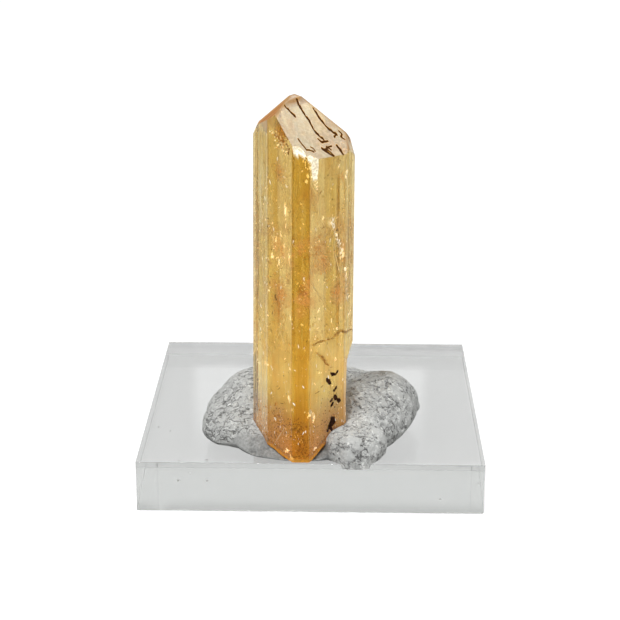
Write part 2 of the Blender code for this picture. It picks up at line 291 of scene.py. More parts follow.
@dataclass
class Shader:
    """The nodes of a material, or of the world where one is given."""

    name: str
    world: Optional[bpy.types.World] = None

    def __post_init__(self) -> None:
        """Start an empty node tree."""
        self.owner = self.world or bpy.data.materials.new(self.name)
        self.owner.use_nodes = True
        self.tree = self.owner.node_tree
        self.tree.nodes.clear()

    def node(
        self, kind: str, settings: dict, sockets: dict, output: Union[int, str, None] = 0,
    ) -> Optional[Wire]:
        """Add one node.

        Args:
            kind: the node's type.
            settings: its properties, which are set first.
            sockets: values or links of its inputs.
            output: the output that is wanted, or None for a node without one.

        Returns:
            That output.
        """
        made = self.tree.nodes.new(kind)
        for key, value in settings.items():
            setattr(made, key, value)
        for key, value in sockets.items():
            if isinstance(value, Wire):
                self.tree.links.new(value.socket, made.inputs[key])
            else:
                made.inputs[key].default_value = value
        return None if output is None else Wire(self, made.outputs[output])

    def math(self, operation: str, first: Number, second: Number = 0.0) -> Wire:
        """Add a Math node."""
        return self.node("ShaderNodeMath", {"operation": operation}, {0: first, 1: second})

    def place(self, stretch: tuple[float, float, float] = (1.0, 1.0, 1.0)) -> Wire:
        """The point on the piece in millimetres, each axis multiplied by the stretch."""
        point = self.node("ShaderNodeTexCoord", {}, {}, "Object")
        scale = tuple(part / MM for part in stretch)
        return self.node("ShaderNodeVectorMath", {"operation": "MULTIPLY"}, {0: point, 1: scale})

    def axis(self, vector: Wire, axis: str) -> Wire:
        """One coordinate of a vector."""
        return self.node("ShaderNodeSeparateXYZ", {}, {0: vector}, axis)

    def noise(self, vector: Wire, size: float, detail: float = 3.0, rough: float = 0.55) -> Wire:
        """Noise from 0 to 1 whose blobs have about that size."""
        sockets = {"Vector": vector, "Scale": 1.0 / size, "Detail": detail, "Roughness": rough}
        return self.node("ShaderNodeTexNoise", {}, sockets, 0)

    def attribute(self, name: str) -> Wire:
        """A number stored per vertex."""
        return self.node("ShaderNodeAttribute", {"attribute_name": name}, {}, "Fac")

    def mix(self, factor: Number, first: Union[Wire, Colour], second: Union[Wire, Colour]) -> Wire:
        """Blend two colours, by the numbers that the Mix node gives its sockets for colours."""
        ends = [end if isinstance(end, Wire) else (*end, 1.0) for end in (first, second)]
        sockets = {0: factor, 6: ends[0], 7: ends[1]}
        return self.node("ShaderNodeMix", {"data_type": "RGBA"}, sockets, 2)

    def bump(
        self, height: Wire, distance: float, strength: float = 1.0, normal: Optional[Wire] = None,
    ) -> Wire:
        """Tilt the surface by a height in units of the distance, which is in millimetres."""
        sockets = {"Height": height, "Distance": distance * MM, "Strength": strength}
        if normal is not None:
            sockets["Normal"] = normal
        return self.node("ShaderNodeBump", {}, sockets)

    def surface(self, sockets: dict) -> Wire:
        """Add a Principled surface with these sockets."""
        return self.node("ShaderNodeBsdfPrincipled", {}, sockets)

    def blend(self, factor: Number, first: Wire, second: Wire) -> Wire:
        """Blend two surfaces."""
        return self.node("ShaderNodeMixShader", {}, {0: factor, 1: first, 2: second})

    def finish(self, surface: Wire, volume: Optional[Wire] = None) -> bpy.types.Material:
        """End in a surface, and in a volume where one is given."""
        ends = {"Surface": surface}
        if volume is not None:
            ends["Volume"] = volume
        self.node("ShaderNodeOutputWorld" if self.world else "ShaderNodeOutputMaterial", {}, ends, None)
        return self.owner

    def absorption(self, colour: Colour, density: float) -> Wire:
        """Plain absorption by the depth of material that light crosses."""
        return self.node("ShaderNodeVolumeAbsorption", {}, {"Color": (*colour, 1.0), "Density": density})


# Finishes


@dataclass(frozen=True)
class TopazFinish:
    """Clear golden topaz under a thin matt skin: striated walls, an etched tip and a rusty broken end.

    The skin carries what lies on the surface or just under it: haze, clouds, rust and stains, and the painted
    shade of its edges.
    """

    index: float = 1.62
    skin_index: float = 1.33
    absorb_colour: Colour = (0.871, 0.731, 0.184)
    absorb_density: float = 100.0
    clear: Colour = (0.85, 0.71, 0.43)
    band: Colour = (0.64, 0.42, 0.075)
    streak: Colour = (0.84, 0.64, 0.22)
    pale: Colour = (0.98, 0.99, 0.98)
    shade: Colour = (0.60, 0.40, 0.10)
    blush: Colour = (0.76, 0.44, 0.20)
    gleam: Colour = (1.0, 0.95, 0.66)
    haze: Colour = (0.88, 0.64, 0.20)
    pale_haze: Colour = (0.86, 0.80, 0.56)
    band_haze: Colour = (0.66, 0.40, 0.05)
    foot_haze: Colour = (0.60, 0.27, 0.03)
    peach: Colour = (0.70, 0.30, 0.08)
    milk: Colour = (0.70, 0.57, 0.45)
    mist: Colour = (0.65, 0.60, 0.48)
    cream: Colour = (0.98, 0.92, 0.74)
    ember: Colour = (0.30, 0.13, 0.045)
    glow: Colour = (0.40, 0.21, 0.085)
    # The painted shade of the corners and ridges.
    edge: Colour = (0.34, 0.20, 0.09)
    rust: Colour = (0.80, 0.34, 0.035)
    ochre: Colour = (0.42, 0.21, 0.04)
    stain: Colour = (0.06, 0.024, 0.008)

    def marks(self, shader: Shader, place: Wire) -> dict[str, Wire]:
        """Where the marks lie: the numbers stored per vertex, and the noises that are used more than once."""
        names = ("broken", "etched", "pale", "milk", "ember", "stain", "chip", "edge", "band")
        marks = {name: shader.attribute(name) for name in names}
        height = shader.axis(place, "Z")
        grain = shader.noise(place, 0.7)
        cloudy = shader.noise(place, 2.6, 4.0, 0.65).step(0.44, 0.64)
        zone = height.step(20.0, 24.5) * height.step(34.0, 29.5)
        marks["foot"] = height.step(18.0, 12.0)
        marks["grain"] = grain
        marks["low"] = (height + grain * 4.0).step(15.0, 8.5)
        marks["speck"] = shader.noise(place, 0.22, 2.0).step(0.42, 0.62)
        marks["blush"] = cloudy * (zone * 0.65 + 0.35)
        marks["clouds"] = cloudy * zone * (1.0 - marks["pale"] * 0.8)
        marks["mottle"] = shader.noise(place, 1.8, 3.0, 0.6).step(0.35, 0.65)
        marks["lines"] = shader.noise(shader.place((1.0, 1.0, 0.03)), 0.16, 2.0)
        return marks

    def tint(self, shader: Shader, marks: dict[str, Wire]) -> Wire:
        """The colour of the glass: pale or amber by face, shaded in lines, rusty at the foot and clouded."""
        drawn = shader.noise(shader.place((1.0, 1.0, 0.06)), 0.5, 3.0, 0.6)
        amber = shader.mix(drawn.step(0.46, 0.66), self.band, self.streak)
        tint = shader.mix(marks["pale"], self.clear, self.pale)
        tint = shader.mix(marks["band"], tint, amber)
        tint = shader.mix(marks["lines"].step(0.52, 0.74) * (0.32 - marks["pale"] * 0.24), tint, self.shade)
        rusty = marks["low"] * (marks["speck"] * 0.5 + 0.35 + marks["band"] * 0.15)
        tint = shader.mix(rusty, tint, self.rust)
        tint = shader.mix(marks["blush"] * 0.6, tint, self.blush)
        gleam = shader.noise(shader.place((1.0, 1.0, 0.4)), 1.5, 4.0, 0.65).step(0.53, 0.66)
        return shader.mix(gleam * (1.0 - marks["band"]) * 0.6, tint, self.gleam)

    def skin(self, shader: Shader, marks: dict[str, Wire]) -> Wire:
        """The colour of the matt skin, each mark laid over the ones before it."""
        low, stain = marks["low"], marks["stain"]
        skin = shader.mix(marks["pale"], self.haze, self.pale_haze)
        skin = shader.mix(low * (marks["speck"] * 0.6 + 0.4), skin, self.rust)
        skin = shader.mix(marks["band"], skin, shader.mix(low, self.band_haze, self.foot_haze))
        skin = shader.mix(marks["clouds"], skin, self.peach)
        skin = shader.mix(marks["milk"], skin, shader.mix(marks["mottle"], self.milk, self.mist))
        skin = shader.mix(marks["chip"], skin, self.cream)
        bands = shader.noise(shader.place((0.05, 1.0, 0.05)), 0.5, 3.0, 0.6).step(0.38, 0.62)
        skin = shader.mix(marks["ember"], skin, shader.mix(bands, self.ember, self.glow))
        skin = shader.mix(marks["broken"], skin, self.rust)
        # Painted shade: the corners and ridges darkened brown.
        skin = shader.mix(marks["edge"], skin, self.edge)
        dark = shader.mix(stain.step(0.35, 0.75), self.ochre, self.stain)
        return shader.mix(stain.step(0.05, 0.4), skin, dark)

    def cover(self, shader: Shader, place: Wire, marks: dict[str, Wire]) -> Wire:
        """How much of the glass the skin hides: a trace everywhere, and a share for each mark."""
        pale, milk = marks["pale"], marks["milk"]
        threads = shader.noise(shader.place((1.0, 1.0, 0.05)), 0.3, 3.0, 0.6).step(0.5, 0.72)
        etch = shader.noise(place, 0.4, 4.0, 0.7).step(0.42, 0.62)
        crumbs = shader.noise(place, 0.3, 3.0, 0.7).step(0.4, 0.6)
        cover = 0.02 + threads * (pale * 0.3 + 0.04) * (1.0 - milk)
        cover = cover + milk * (0.34 + etch * 0.14 + marks["mottle"] * 0.08) + marks["ember"] * 0.95
        # The painted shade of the edges also hides some of the glass.
        cover = cover + marks["chip"] * (crumbs * 0.5 + 0.45) + marks["edge"] * 0.32
        cover = cover + marks["stain"].step(0.0, 0.3) + marks["broken"] * 0.6
        cover = cover + marks["low"] * (marks["speck"] * 0.22 + 0.02)
        cover = cover + marks["band"] * 0.12 + pale * marks["foot"] * 0.2
        return cover + marks["clouds"] * (crumbs * 0.26 + 0.16)

    def material(self) -> bpy.types.Material:
        """Build the finish: clear glass blended with its skin, both with faint striae and pits."""
        shader = Shader("topaz_glass")
        place = shader.place()
        marks = self.marks(shader, place)
        striae = shader.bump(marks["lines"], 0.006, 0.15)
        pits = shader.bump(shader.noise(place, 0.5, 3.0, 0.6), 0.01, 0.1, striae)
        rough = 0.006 + marks["grain"] * 0.012 + marks["broken"] * 0.22 + marks["etched"] * 0.10
        glass = shader.surface({
            "Base Color": self.tint(shader, marks),
            "Roughness": rough,
            "IOR": self.index,
            "Transmission Weight": 1.0,
            "Normal": pits,
        })
        matt = shader.surface({
            "Base Color": self.skin(shader, marks),
            "Roughness": rough + 0.2,
            "IOR": self.skin_index,
            "Specular IOR Level": 0.0,
            "Normal": pits,
        })
        surface = shader.blend(self.cover(shader, place, marks), glass, matt)
        return shader.finish(surface, shader.absorption(self.absorb_colour, self.absorb_density))


@dataclass(frozen=True)
class PuttyFinish:
    """Matt grey mineral putty, with painted shade: dark in its hollows and tears, and paler on its torn
    crests and lips as painted highlight.

    A row of tears is a stretch, their distance in mm, and how strongly the tears and their lips show.
    """

    hollow_shade: Colour = (0.11, 0.11, 0.105)
    body: Colour = (0.405, 0.41, 0.398)
    crest_highlight: Colour = (0.68, 0.69, 0.67)
    soil: Colour = (0.20, 0.17, 0.12)
    tears: tuple[tuple[Place, float, float, float], ...] = (
        ((0.7, 1.1, 1.0), 1.15, 0.7, 0.7),
        ((0.8, 1.0, 1.1), 0.62, 0.65, 0.6),
        ((1.1, 0.9, 0.9), 0.36, 0.45, 0.4),
    )

    def hooks(self, shader: Shader, place: Wire, size: float) -> tuple[Wire, Wire]:
        """Short curved tears, darkened as painted shadow: bits of the contours of a noise, and the pale lips
        along one side of them, a painted highlight.

        Args:
            shader: the material's nodes.
            place: the point on the piece.
            size: about how far apart the tears are, in millimetres.

        Returns:
            How much of a tear and how much of a lip, both from 0 to 1.
        """
        level = shader.noise(place, size, 2.0, 0.6) - 0.5
        breaks = shader.noise(place, size * 1.3, 1.0).step(0.39, 0.46)
        tear = shader.math("ABSOLUTE", level).step(0.05, 0.015) * breaks
        lip = level.step(0.03, 0.055) * level.step(0.13, 0.08) * breaks
        return tear, lip

    def material(self) -> bpy.types.Material:
        """Build the finish: a tone from the relief, the tears and fine grain, painted shade and highlight,
        and a bump from the same.
        """
        shader = Shader("putty_matt")
        place = shader.place()
        torn = shader.attribute("torn")
        grain = shader.noise(place, 0.3, 4.0, 0.65)
        tears, lips = 0.0, 0.0
        for stretch, size, tear_share, lip_share in self.tears:
            tear, lip = self.hooks(shader, shader.place(stretch), size)
            tears = tear * tear_share + tears
            lips = lip * lip_share + lips
        tears, lips = tears * torn, lips * torn
        # Painted shade and highlight: dark in hollows and along the tears, pale on crests and lips.
        level = shader.attribute("relief") + (grain - 0.5) * 0.5 - tears * 0.36 + lips * 0.27
        tone = shader.mix(level.step(0.0, 0.5), self.hollow_shade, self.body)
        tone = shader.mix(level.step(0.5, 0.95), tone, self.crest_highlight)
        tone = shader.mix(shader.attribute("soil") * (grain.step(0.35, 0.6) * 0.6 + 0.25), tone, self.soil)
        fine = shader.bump(shader.noise(place, 0.16, 3.0, 0.6), 0.05, 0.6)
        sockets = {
            "Base Color": tone,
            "Roughness": 0.72 + grain * 0.2,
            "IOR": 1.45,
            "Normal": shader.bump(lips - tears, 0.07, 0.7, fine),
        }
        return shader.finish(shader.surface(sockets))


@dataclass(frozen=True)
class AcrylicFinish:
    """Clear polished acrylic, greyed in its tint, with faint haze and rubbing marks, and greyer still on top
    as painted shade. Heights in mm.
    """

    index: float = 1.49
    smeared: Colour = (0.75, 0.757, 0.752)
    clean: Colour = (0.78, 0.785, 0.782)
    # painted shade of the top face
    top: Colour = (0.61, 0.617, 0.612)
    top_shade_heights: tuple[float, float] = (5.76, 5.79)
    absorb_colour: Colour = (0.87, 0.876, 0.87)
    absorb_density: float = 61.0

    def material(self) -> bpy.types.Material:
        """Build the finish."""
        shader = Shader("acrylic_clear")
        place = shader.place()
        smear = shader.noise(place, 6.0, 3.0, 0.6)
        scratch = shader.noise(shader.place((0.6, 7.0, 1.0)), 0.5, 2.0).step(0.62, 0.75)
        tint = shader.mix(smear, self.clean, self.smeared)
        # Painted shade: the top face is greyer than the rest of the block.
        tint = shader.mix(shader.axis(place, "Z").step(*self.top_shade_heights), tint, self.top)
        sockets = {
            "Base Color": tint,
            "Roughness": 0.01 + smear * 0.02 + scratch * 0.03,
            "IOR": self.index,
            "Transmission Weight": 1.0,
            "Normal": shader.bump(smear, 0.02, 0.15),
        }
        absorption = shader.absorption(self.absorb_colour, self.absorb_density)
        return shader.finish(shader.surface(sockets), absorption)


@dataclass(frozen=True)
class HeartFinish:
    """The cloudy inside of the crystal: amber veils drawn out lengthwise, dense and rusty towards its foot.

    Light that gathers in the real crystal's lower half is given off by the veils there.
    """

    amber: Colour = (0.96, 0.78, 0.30)
    olive: Colour = (0.94, 0.85, 0.42)
    band: Colour = (0.90, 0.62, 0.12)
    rust: Colour = (0.84, 0.44, 0.08)
    light: Colour = (1.0, 0.84, 0.48)
    unlit: Colour = (0.0, 0.0, 0.0)
    cover: float = 0.25
    glow: float = 0.36

    def material(self) -> bpy.types.Material:
        """Build the finish."""
        shader = Shader("topaz_heart")
        place = shader.place()
        drawn = shader.noise(shader.place((1.0, 1.0, 0.16)), 1.4, 3.0)
        fine = shader.noise(shader.place((1.0, 1.0, 0.07)), 0.35, 2.0)
        cloud = shader.noise(place, 3.2, 4.0, 0.6)
        level = shader.axis(place, "Z") + cloud * 3.0
        lit = (level - 1.5).step(23.0, 17.5) * (1.0 - (level - 1.5).step(15.5, 11.0) * 0.75)
        body = shader.mix(cloud.step(0.4, 0.62), self.amber, self.olive)
        body = shader.mix(shader.attribute("band"), body, self.band)
        body = shader.mix(level.step(16.0, 10.5) * 0.8, body, self.rust)
        veil = (drawn - 0.5) * 0.5 + (fine - 0.5) * 0.2 + (cloud - 0.5) * 0.3 + self.cover
        sockets = {
            "Base Color": body,
            "Roughness": 0.6,
            "Specular IOR Level": 0.0,
            "Alpha": (veil + level.step(23.0, 12.0) * 0.65).step(0.0, 1.0),
            "Emission Color": shader.mix(lit, self.unlit, shader.mix(0.5, self.light, body)),
            "Emission Strength": self.glow,
        }
        return shader.finish(shader.surface(sockets))


@dataclass(frozen=True)
class FlakeFinish:
    """What lies inside the crystal: glints, stains, dark grains and soft-edged clouds. A glow above 0 is
    painted light: the flake gives off its own colour.
    """

    name: str
    light: Colour
    dark: Colour
    grain: float = 0.3
    roughness: float = 0.4
    metallic: float = 0.0
    glow: float = 0.0
    cover: Optional[float] = None

    def material(self) -> bpy.types.Material:
        """Build the finish. A cover below 1 fades it out where its bodies thin out."""
        shader = Shader(self.name)
        grain = shader.noise(shader.place(), self.grain, 4.0, 0.6)
        tone = shader.mix(grain.step(0.36, 0.64), self.dark, self.light)
        sockets = {
            "Base Color": tone,
            "Roughness": self.roughness + (grain - 0.5) * 0.3,
            "Metallic": self.metallic,
            "Specular IOR Level": 0.0,
            # Painted light: the flake gives off its own colour by its glow.
            "Emission Color": tone,
            "Emission Strength": self.glow,
        }
        if self.cover is not None:
            wisp = shader.noise(shader.place((1.0, 1.0, 0.35)), 0.5, 4.0, 0.65).step(0.32, 0.66)
            sockets["Alpha"] = shader.attribute("thick") ** 1.6 * (wisp * 0.85 + 0.15) * self.cover
        return shader.finish(shader.surface(sockets))


# The crystal


@dataclass
class Crystal:
    """The topaz prism with its sloping tip, chips, missing lower right edge and broken end. Lengths in mm.

    A wall face is its normal's bearing in degrees and its distance from the axis. A plane of the tip is a, b
    and h of its height h - a·x - b·y. A chip is an ellipsoid's centre and radii. Channels and marks are
    jointed lines in plan.
    """

    axis: tuple[float, float] = (-0.87, -13.4)
    faces: tuple[Face, ...] = (
        (-90.0, 5.55), (-46.6, 4.575), (-26.0, 4.93), (28.0, 4.66), (46.6, 4.33),
        (90.0, 5.4), (133.4, 4.63), (151.0, 4.8), (206.9, 4.71), (226.6, 4.79),
    )
    front_right: Plane = (0.808, -0.809, 54.88)
    other_planes: tuple[Plane, ...] = (
        (0.808, 0.74, 34.42), (-0.868, 0.0, 47.29), (-0.868, 0.74, 37.6),
        (0.02, -0.16, 47.2), (2.3, -0.5, 56.1), (-2.2, 0.2, 52.15),
    )
    lip: Place = (-1.0, -18.95, 5.9)
    lip_flat: float = 0.75
    lip_round: float = 0.2
    flare: float = 0.22
    flare_top: float = 40.0
    flare_drop: float = 34.0
    flare_reach: float = 5.4
    left_rise: float = 0.3
    left_step: float = 1.1
    right_rise: float = 0.68
    right_step: float = 2.5
    step_x: float = 3.6
    step_top: float = 16.6
    step_bend: float = 0.6
    step_slope: float = math.tan(math.radians(68.0)) / 1.15
    step_lean: float = math.tan(math.radians(9.0))
    chips: tuple[tuple[Place, Place], ...] = (
        ((0.75, -18.75, 39.0), (0.72, 0.62, 2.3)),
        ((-0.75, -19.25, 40.9), (1.3, 0.8, 0.95)),
        ((0.35, -19.0, 40.2), (0.8, 0.7, 0.9)),
        ((3.75, -15.25, 41.0), (0.7, 0.6, 0.5)),
        ((4.35, -13.3, 41.1), (0.6, 0.7, 0.6)),
        ((3.6, -13.6, 42.0), (0.55, 0.5, 0.4)),
    )
    chip_pull: Place = (-0.15, 0.75, -0.64)
    chip_ripple: float = 0.02
    chip_waves: float = 26.0
    channels: tuple[tuple[tuple[float, float], ...], ...] = (
        ((-2.74, -15.53), (-1.78, -15.71)),
        ((-1.67, -13.66), (-1.41, -14.24), (-0.94, -14.65), (-0.37, -14.99), (0.45, -15.74), (1.16, -15.74)),
        ((0.17, -13.46), (0.66, -13.86), (1.3, -14.14), (1.79, -14.31), (2.59, -14.15)),
        ((1.1, -16.78), (2.3, -16.59)),
        ((2.6, -15.32), (3.32, -15.69)),
    )
    marks: tuple[tuple[tuple[float, float], ...], ...] = (
        ((-1.33, -17.76), (-1.02, -17.94), (-0.51, -18.14), (-0.15, -17.93), (0.22, -17.77)),
        ((-0.08, -17.56), (0.15, -17.50), (0.36, -17.59)),
        ((1.18, -16.75), (1.63, -16.48), (1.97, -16.47), (2.35, -16.55)),
        ((1.38, -16.68), (1.79, -16.06), (2.06, -15.80)),
        ((1.52, -16.24), (2.00, -16.20)),
        ((2.71, -15.26), (3.04, -15.44), (3.31, -15.74)),
        ((2.81, -13.68), (3.13, -13.74), (3.03, -14.13), (3.45, -14.05)),
        ((2.19, -14.17), (2.50, -14.28), (2.34, -14.66)),
        ((3.34, -12.86), (3.66, -13.02), (3.93, -13.34)),
        ((0.65, -16.19), (1.06, -16.17), (1.68, -15.59)),
    )
    grooves: tuple[tuple[float, float, float, float, int], ...] = (
        (0.9, 26.0, 0.005, 0.18, 3), (0.45, 13.0, 0.004, 0.24, 4), (0.22, 7.0, 0.0025, 0.3, 5),
    )
    left_plane: int = 2
    brow_plane: int = 6
    band_faces: tuple[int, ...] = (0, 5)
    pale_faces: tuple[int, ...] = (2, 3, 7, 8)
    half_pale_face: int = 1
    veil_x: float = -2.3
    veil_lean: float = 0.3
    edge_width: float = 0.06
    ridge_width: float = 0.36
    channel_width: float = 0.15
    channel_depth: float = 0.12
    stain_width: float = 0.19
    mark_width: float = 0.13
    sink: float = 0.01
    column_pitch: float = 0.071
    tip_rows: int = 92
    wall_rows: int = 70
    base_rows: int = 24

    def corner(self, first: Face, second: Face) -> Array:
        """Where two wall faces meet in plan: the point at both distances from the axis along both normals."""
        a, b = math.radians(first[0]), math.radians(second[0])
        scale = math.sin(b - a)
        x = (first[1] * math.sin(b) - second[1] * math.sin(a)) / scale
        y = (second[1] * math.cos(a) - first[1] * math.cos(b)) / scale
        return np.array([x + self.axis[0], y + self.axis[1]])

    def corners(self) -> Array:
        """Plan places of the prism's corners, each where its wall face begins."""
        return np.array([self.corner(self.faces[i - 1], face) for i, face in enumerate(self.faces)])

    def outline(self) -> tuple[Array, Array, Array, Array]:
        """Points along the prism's plan outline, evenly spaced on each face from its first corner.

        Returns:
            Plan points, outward normals, distance round the outline and share of the face crossed.
        """
        corners = self.corners()
        points, normals, arcs, shares = [], [], [], []
        walked = 0.0
        for index, start in enumerate(corners):
            end = corners[(index + 1) % len(corners)]
            length = float(np.linalg.norm(end - start))
            steps = max(4, round(length / self.column_pitch))
            share = np.arange(steps) / steps
            angle = math.radians(self.faces[index][0])
            points.append(start + (end - start) * share[:, None])
            normals.append(np.tile([math.cos(angle), math.sin(angle)], (steps, 1)))
            arcs.append(walked + share * length)
            shares.append(share)
            walked += length
        return tuple(np.concatenate(part) for part in (points, normals, arcs, shares))

    def face_starts(self) -> Array:
        """Distance round the outline at which each wall face begins."""
        corners = self.corners()
        lengths = np.linalg.norm(np.roll(corners, -1, axis=0) - corners, axis=1)
        return np.concatenate([[0.0], np.cumsum(lengths)[:-1]]) - 1e-9

    def face_numbers(self) -> Array:
        """The number of the wall face that each column of the grid lies on."""
        return np.searchsorted(self.face_starts(), self.outline()[2], side="right") - 1

    def tip_height(self, plan: Array) -> Array:
        """Height of the tip: the lowest of its planes, each h - a·x - b·y."""
        planes = (self.front_right, *self.other_planes)
        return np.min([h - a * plan[..., 0] - b * plan[..., 1] for a, b, h in planes], axis=0)

    def base_height(self, plan: Array) -> Array:
        """Height of the broken end: a rounded lip, then a rise with distance, up to a step on each side."""
        x, y = plan[..., 0], plan[..., 1]
        reach = np.hypot(x - self.lip[0], y - self.lip[1])
        away = np.sqrt(np.maximum(reach - self.lip_flat, 0.0) ** 2 + self.lip_round**2) - self.lip_round
        side = smooth_step(x, self.lip[0], self.lip[0] + 1.5)
        rise = self.left_rise + (self.right_rise - self.left_rise) * side
        step = self.left_step + (self.right_step - self.left_step) * side
        grain = fractal_noise(plan / 1.3, 5, 3) * 0.09 * np.minimum(away, 1.0)
        return self.lip[2] + np.minimum(rise * away, step) + np.maximum(grain, -0.05)

    def groove_depth(self, arc: Array, height: Array, share: Array) -> Array:
        """Depth of the growth grooves: V-shaped along the lines where stretched noise crosses zero.

        A row of grooves is the noise's size across and along, then depth, width and seed. Its depth is
        depth · (1 - |noise| / width), never under 0. A slow wave is added, and corners are left alone.
        """
        total = np.zeros(np.broadcast(arc, height).shape)
        for across, along, depth, width, seed in self.grooves:
            noise = value_noise(np.stack(np.broadcast_arrays(arc / across, height / along), -1), seed)
            total += depth * np.maximum(0.0, 1.0 - np.abs(noise) / width)
        wave = value_noise(np.stack(np.broadcast_arrays(arc / 1.5, height / 22.0), -1), 9)
        total += 0.006 * (1.0 + wave)
        margin = smooth_step(share, 0.0, 0.05) * smooth_step(1.0 - share, 0.0, 0.05)
        return total * margin

    def clip_step(self, points: Array) -> Array:
        """Limit x at the lower right, where a slab has come away: a leaning plane, flaring out at its top."""
        y, z = points[..., 1], points[..., 2]
        rough = fractal_noise(points[..., 1:] / np.array([1.1, 1.9]), 21, 3) * 0.09
        limit = self.step_x - (y - self.axis[1]) * self.step_lean + rough
        limit = limit + np.maximum(0.0, z - (self.step_top - self.step_bend)) / self.step_slope
        clipped = points.copy()
        clipped[..., 0] = np.minimum(points[..., 0], limit)
        return clipped

    def flared(self, points: Array) -> Array:
        """Widen the left side towards the foot, in proportion to the way down and out from the axis."""
        down = np.clip((self.flare_top - points[..., 2]) / self.flare_drop, 0.0, 1.0)
        out = np.clip((self.axis[0] - points[..., 0]) / self.flare_reach, 0.0, 1.0)
        widened = points.copy()
        widened[..., 0] -= self.flare * down * out
        return widened

    def scoop_chips(self, points: Array) -> tuple[Array, Array]:
        """Push what lies inside each chip's ellipsoid along the pull to its far side, with fine ripples.

        Returns:
            The new points, and 1 where a point was moved.
        """
        pull = np.array(self.chip_pull) / np.linalg.norm(self.chip_pull)
        moved = np.zeros(points.shape[:-1])
        for centre, radii in self.chips:
            local = (points - np.array(centre)) / np.array(radii)
            ray = pull / np.array(radii)
            a = float(ray @ ray)
            b = local @ ray
            c = (local * local).sum(-1) - 1.0
            inside = c < 0.0
            travel = np.where(inside, (-b + np.sqrt(np.maximum(b * b - a * c, 0.0))) / a, 0.0)
            ripple = self.chip_ripple * np.sin(np.linalg.norm(local, axis=-1) * self.chip_waves)
            points = points + pull * np.where(inside, np.maximum(travel + ripple, 0.0), 0.0)[..., None]
            moved = np.maximum(moved, inside)
        return points, moved

    def wall_radius(self, angle: Array) -> Array:
        """Distance from the axis to the wall near the foot: the least d / cos(angle) of faces and step."""
        facing = np.cos(angle[..., None] - np.radians([face[0] for face in self.faces]))
        reach = np.array([face[1] for face in self.faces]) / np.maximum(facing, 1e-6)
        reach = np.where(facing > 1e-3, reach, FAR).min(-1)
        reach = reach + self.flare * np.maximum(-np.cos(angle), 0.0)
        lean = np.cos(angle) + self.step_lean * np.sin(angle)
        step = (self.step_x - self.axis[0]) / np.maximum(lean, 1e-6)
        return np.minimum(reach, np.where(lean > 1e-3, step, FAR))

    def line_distance(self, plan: Array, lines: tuple) -> Array:
        """Distance from plan points to the nearest of some jointed lines."""
        nearest = np.full(plan.shape[:-1], FAR)
        for line in lines:
            for start, end in zip(line[:-1], line[1:]):
                a, b = np.array(start), np.array(end)
                along = np.clip((plan - a) @ (b - a) / ((b - a) @ (b - a)), 0.0, 1.0)
                away = np.linalg.norm(plan - a - along[..., None] * (b - a), axis=-1)
                nearest = np.minimum(nearest, away)
        return nearest

    def channel_dip(self, plan: Array) -> Array:
        """How deep the etched channels lie: depth · (1 - (distance / width)²), never under 0."""
        wobble = 1.0 + 0.35 * value_noise(plan / 0.35, 14)
        near = self.line_distance(plan, self.channels) / (self.channel_width * wobble)
        return self.channel_depth * np.maximum(0.0, 1.0 - near**2)

    def channel_stain(self, plan: Array) -> Array:
        """How dark the iron stain of channels and marks is: 1 on their middle lines, thinner in places."""
        wobble = 1.0 + 0.5 * value_noise(plan / 0.22, 15)
        wide = self.line_distance(plan, self.channels) / (self.stain_width * wobble)
        slim = self.line_distance(plan, self.marks) / (self.mark_width * wobble)
        return 1.0 - smooth_step(np.minimum(wide, slim), 0.25, 1.0)

    def ridge_shares(self, centre: Array, rim: Array) -> Array:
        """Rows from the rim to the centre of the tip, the nearest row moved onto each ridge between planes.

        Along a ray each plane's height is a line a + b·s, and two lines cross at (a2 - a1) / (b1 - b2).
        """
        count = self.tip_rows
        shares = np.tile((1.0 - np.arange(1, count) / count)[:, None], (1, len(rim)))
        columns = np.arange(len(rim))
        planes = (self.front_right, *self.other_planes)
        start = [h - a * centre[0] - b * centre[1] for a, b, h in planes]
        slope = [-a * (rim[:, 0] - centre[0]) - b * (rim[:, 1] - centre[1]) for a, b, _ in planes]
        for i, j in itertools.combinations(range(len(planes)), 2):
            with np.errstate(divide="ignore", invalid="ignore"):
                share = (start[j] - start[i]) / (slope[i] - slope[j])
            share = np.nan_to_num(share, nan=-1.0, posinf=-1.0, neginf=-1.0)
            spot = centre + share[:, None] * (rim - centre)
            real = np.abs(self.tip_height(spot) - (start[i] + slope[i] * share)) < 1e-6
            row = np.round((1.0 - share) * count).astype(int) - 1
            good = real & (share > 0.0) & (share < 1.0) & (row >= 0) & (row < count - 1)
            shares[row[good], columns[good]] = share[good]
        return shares

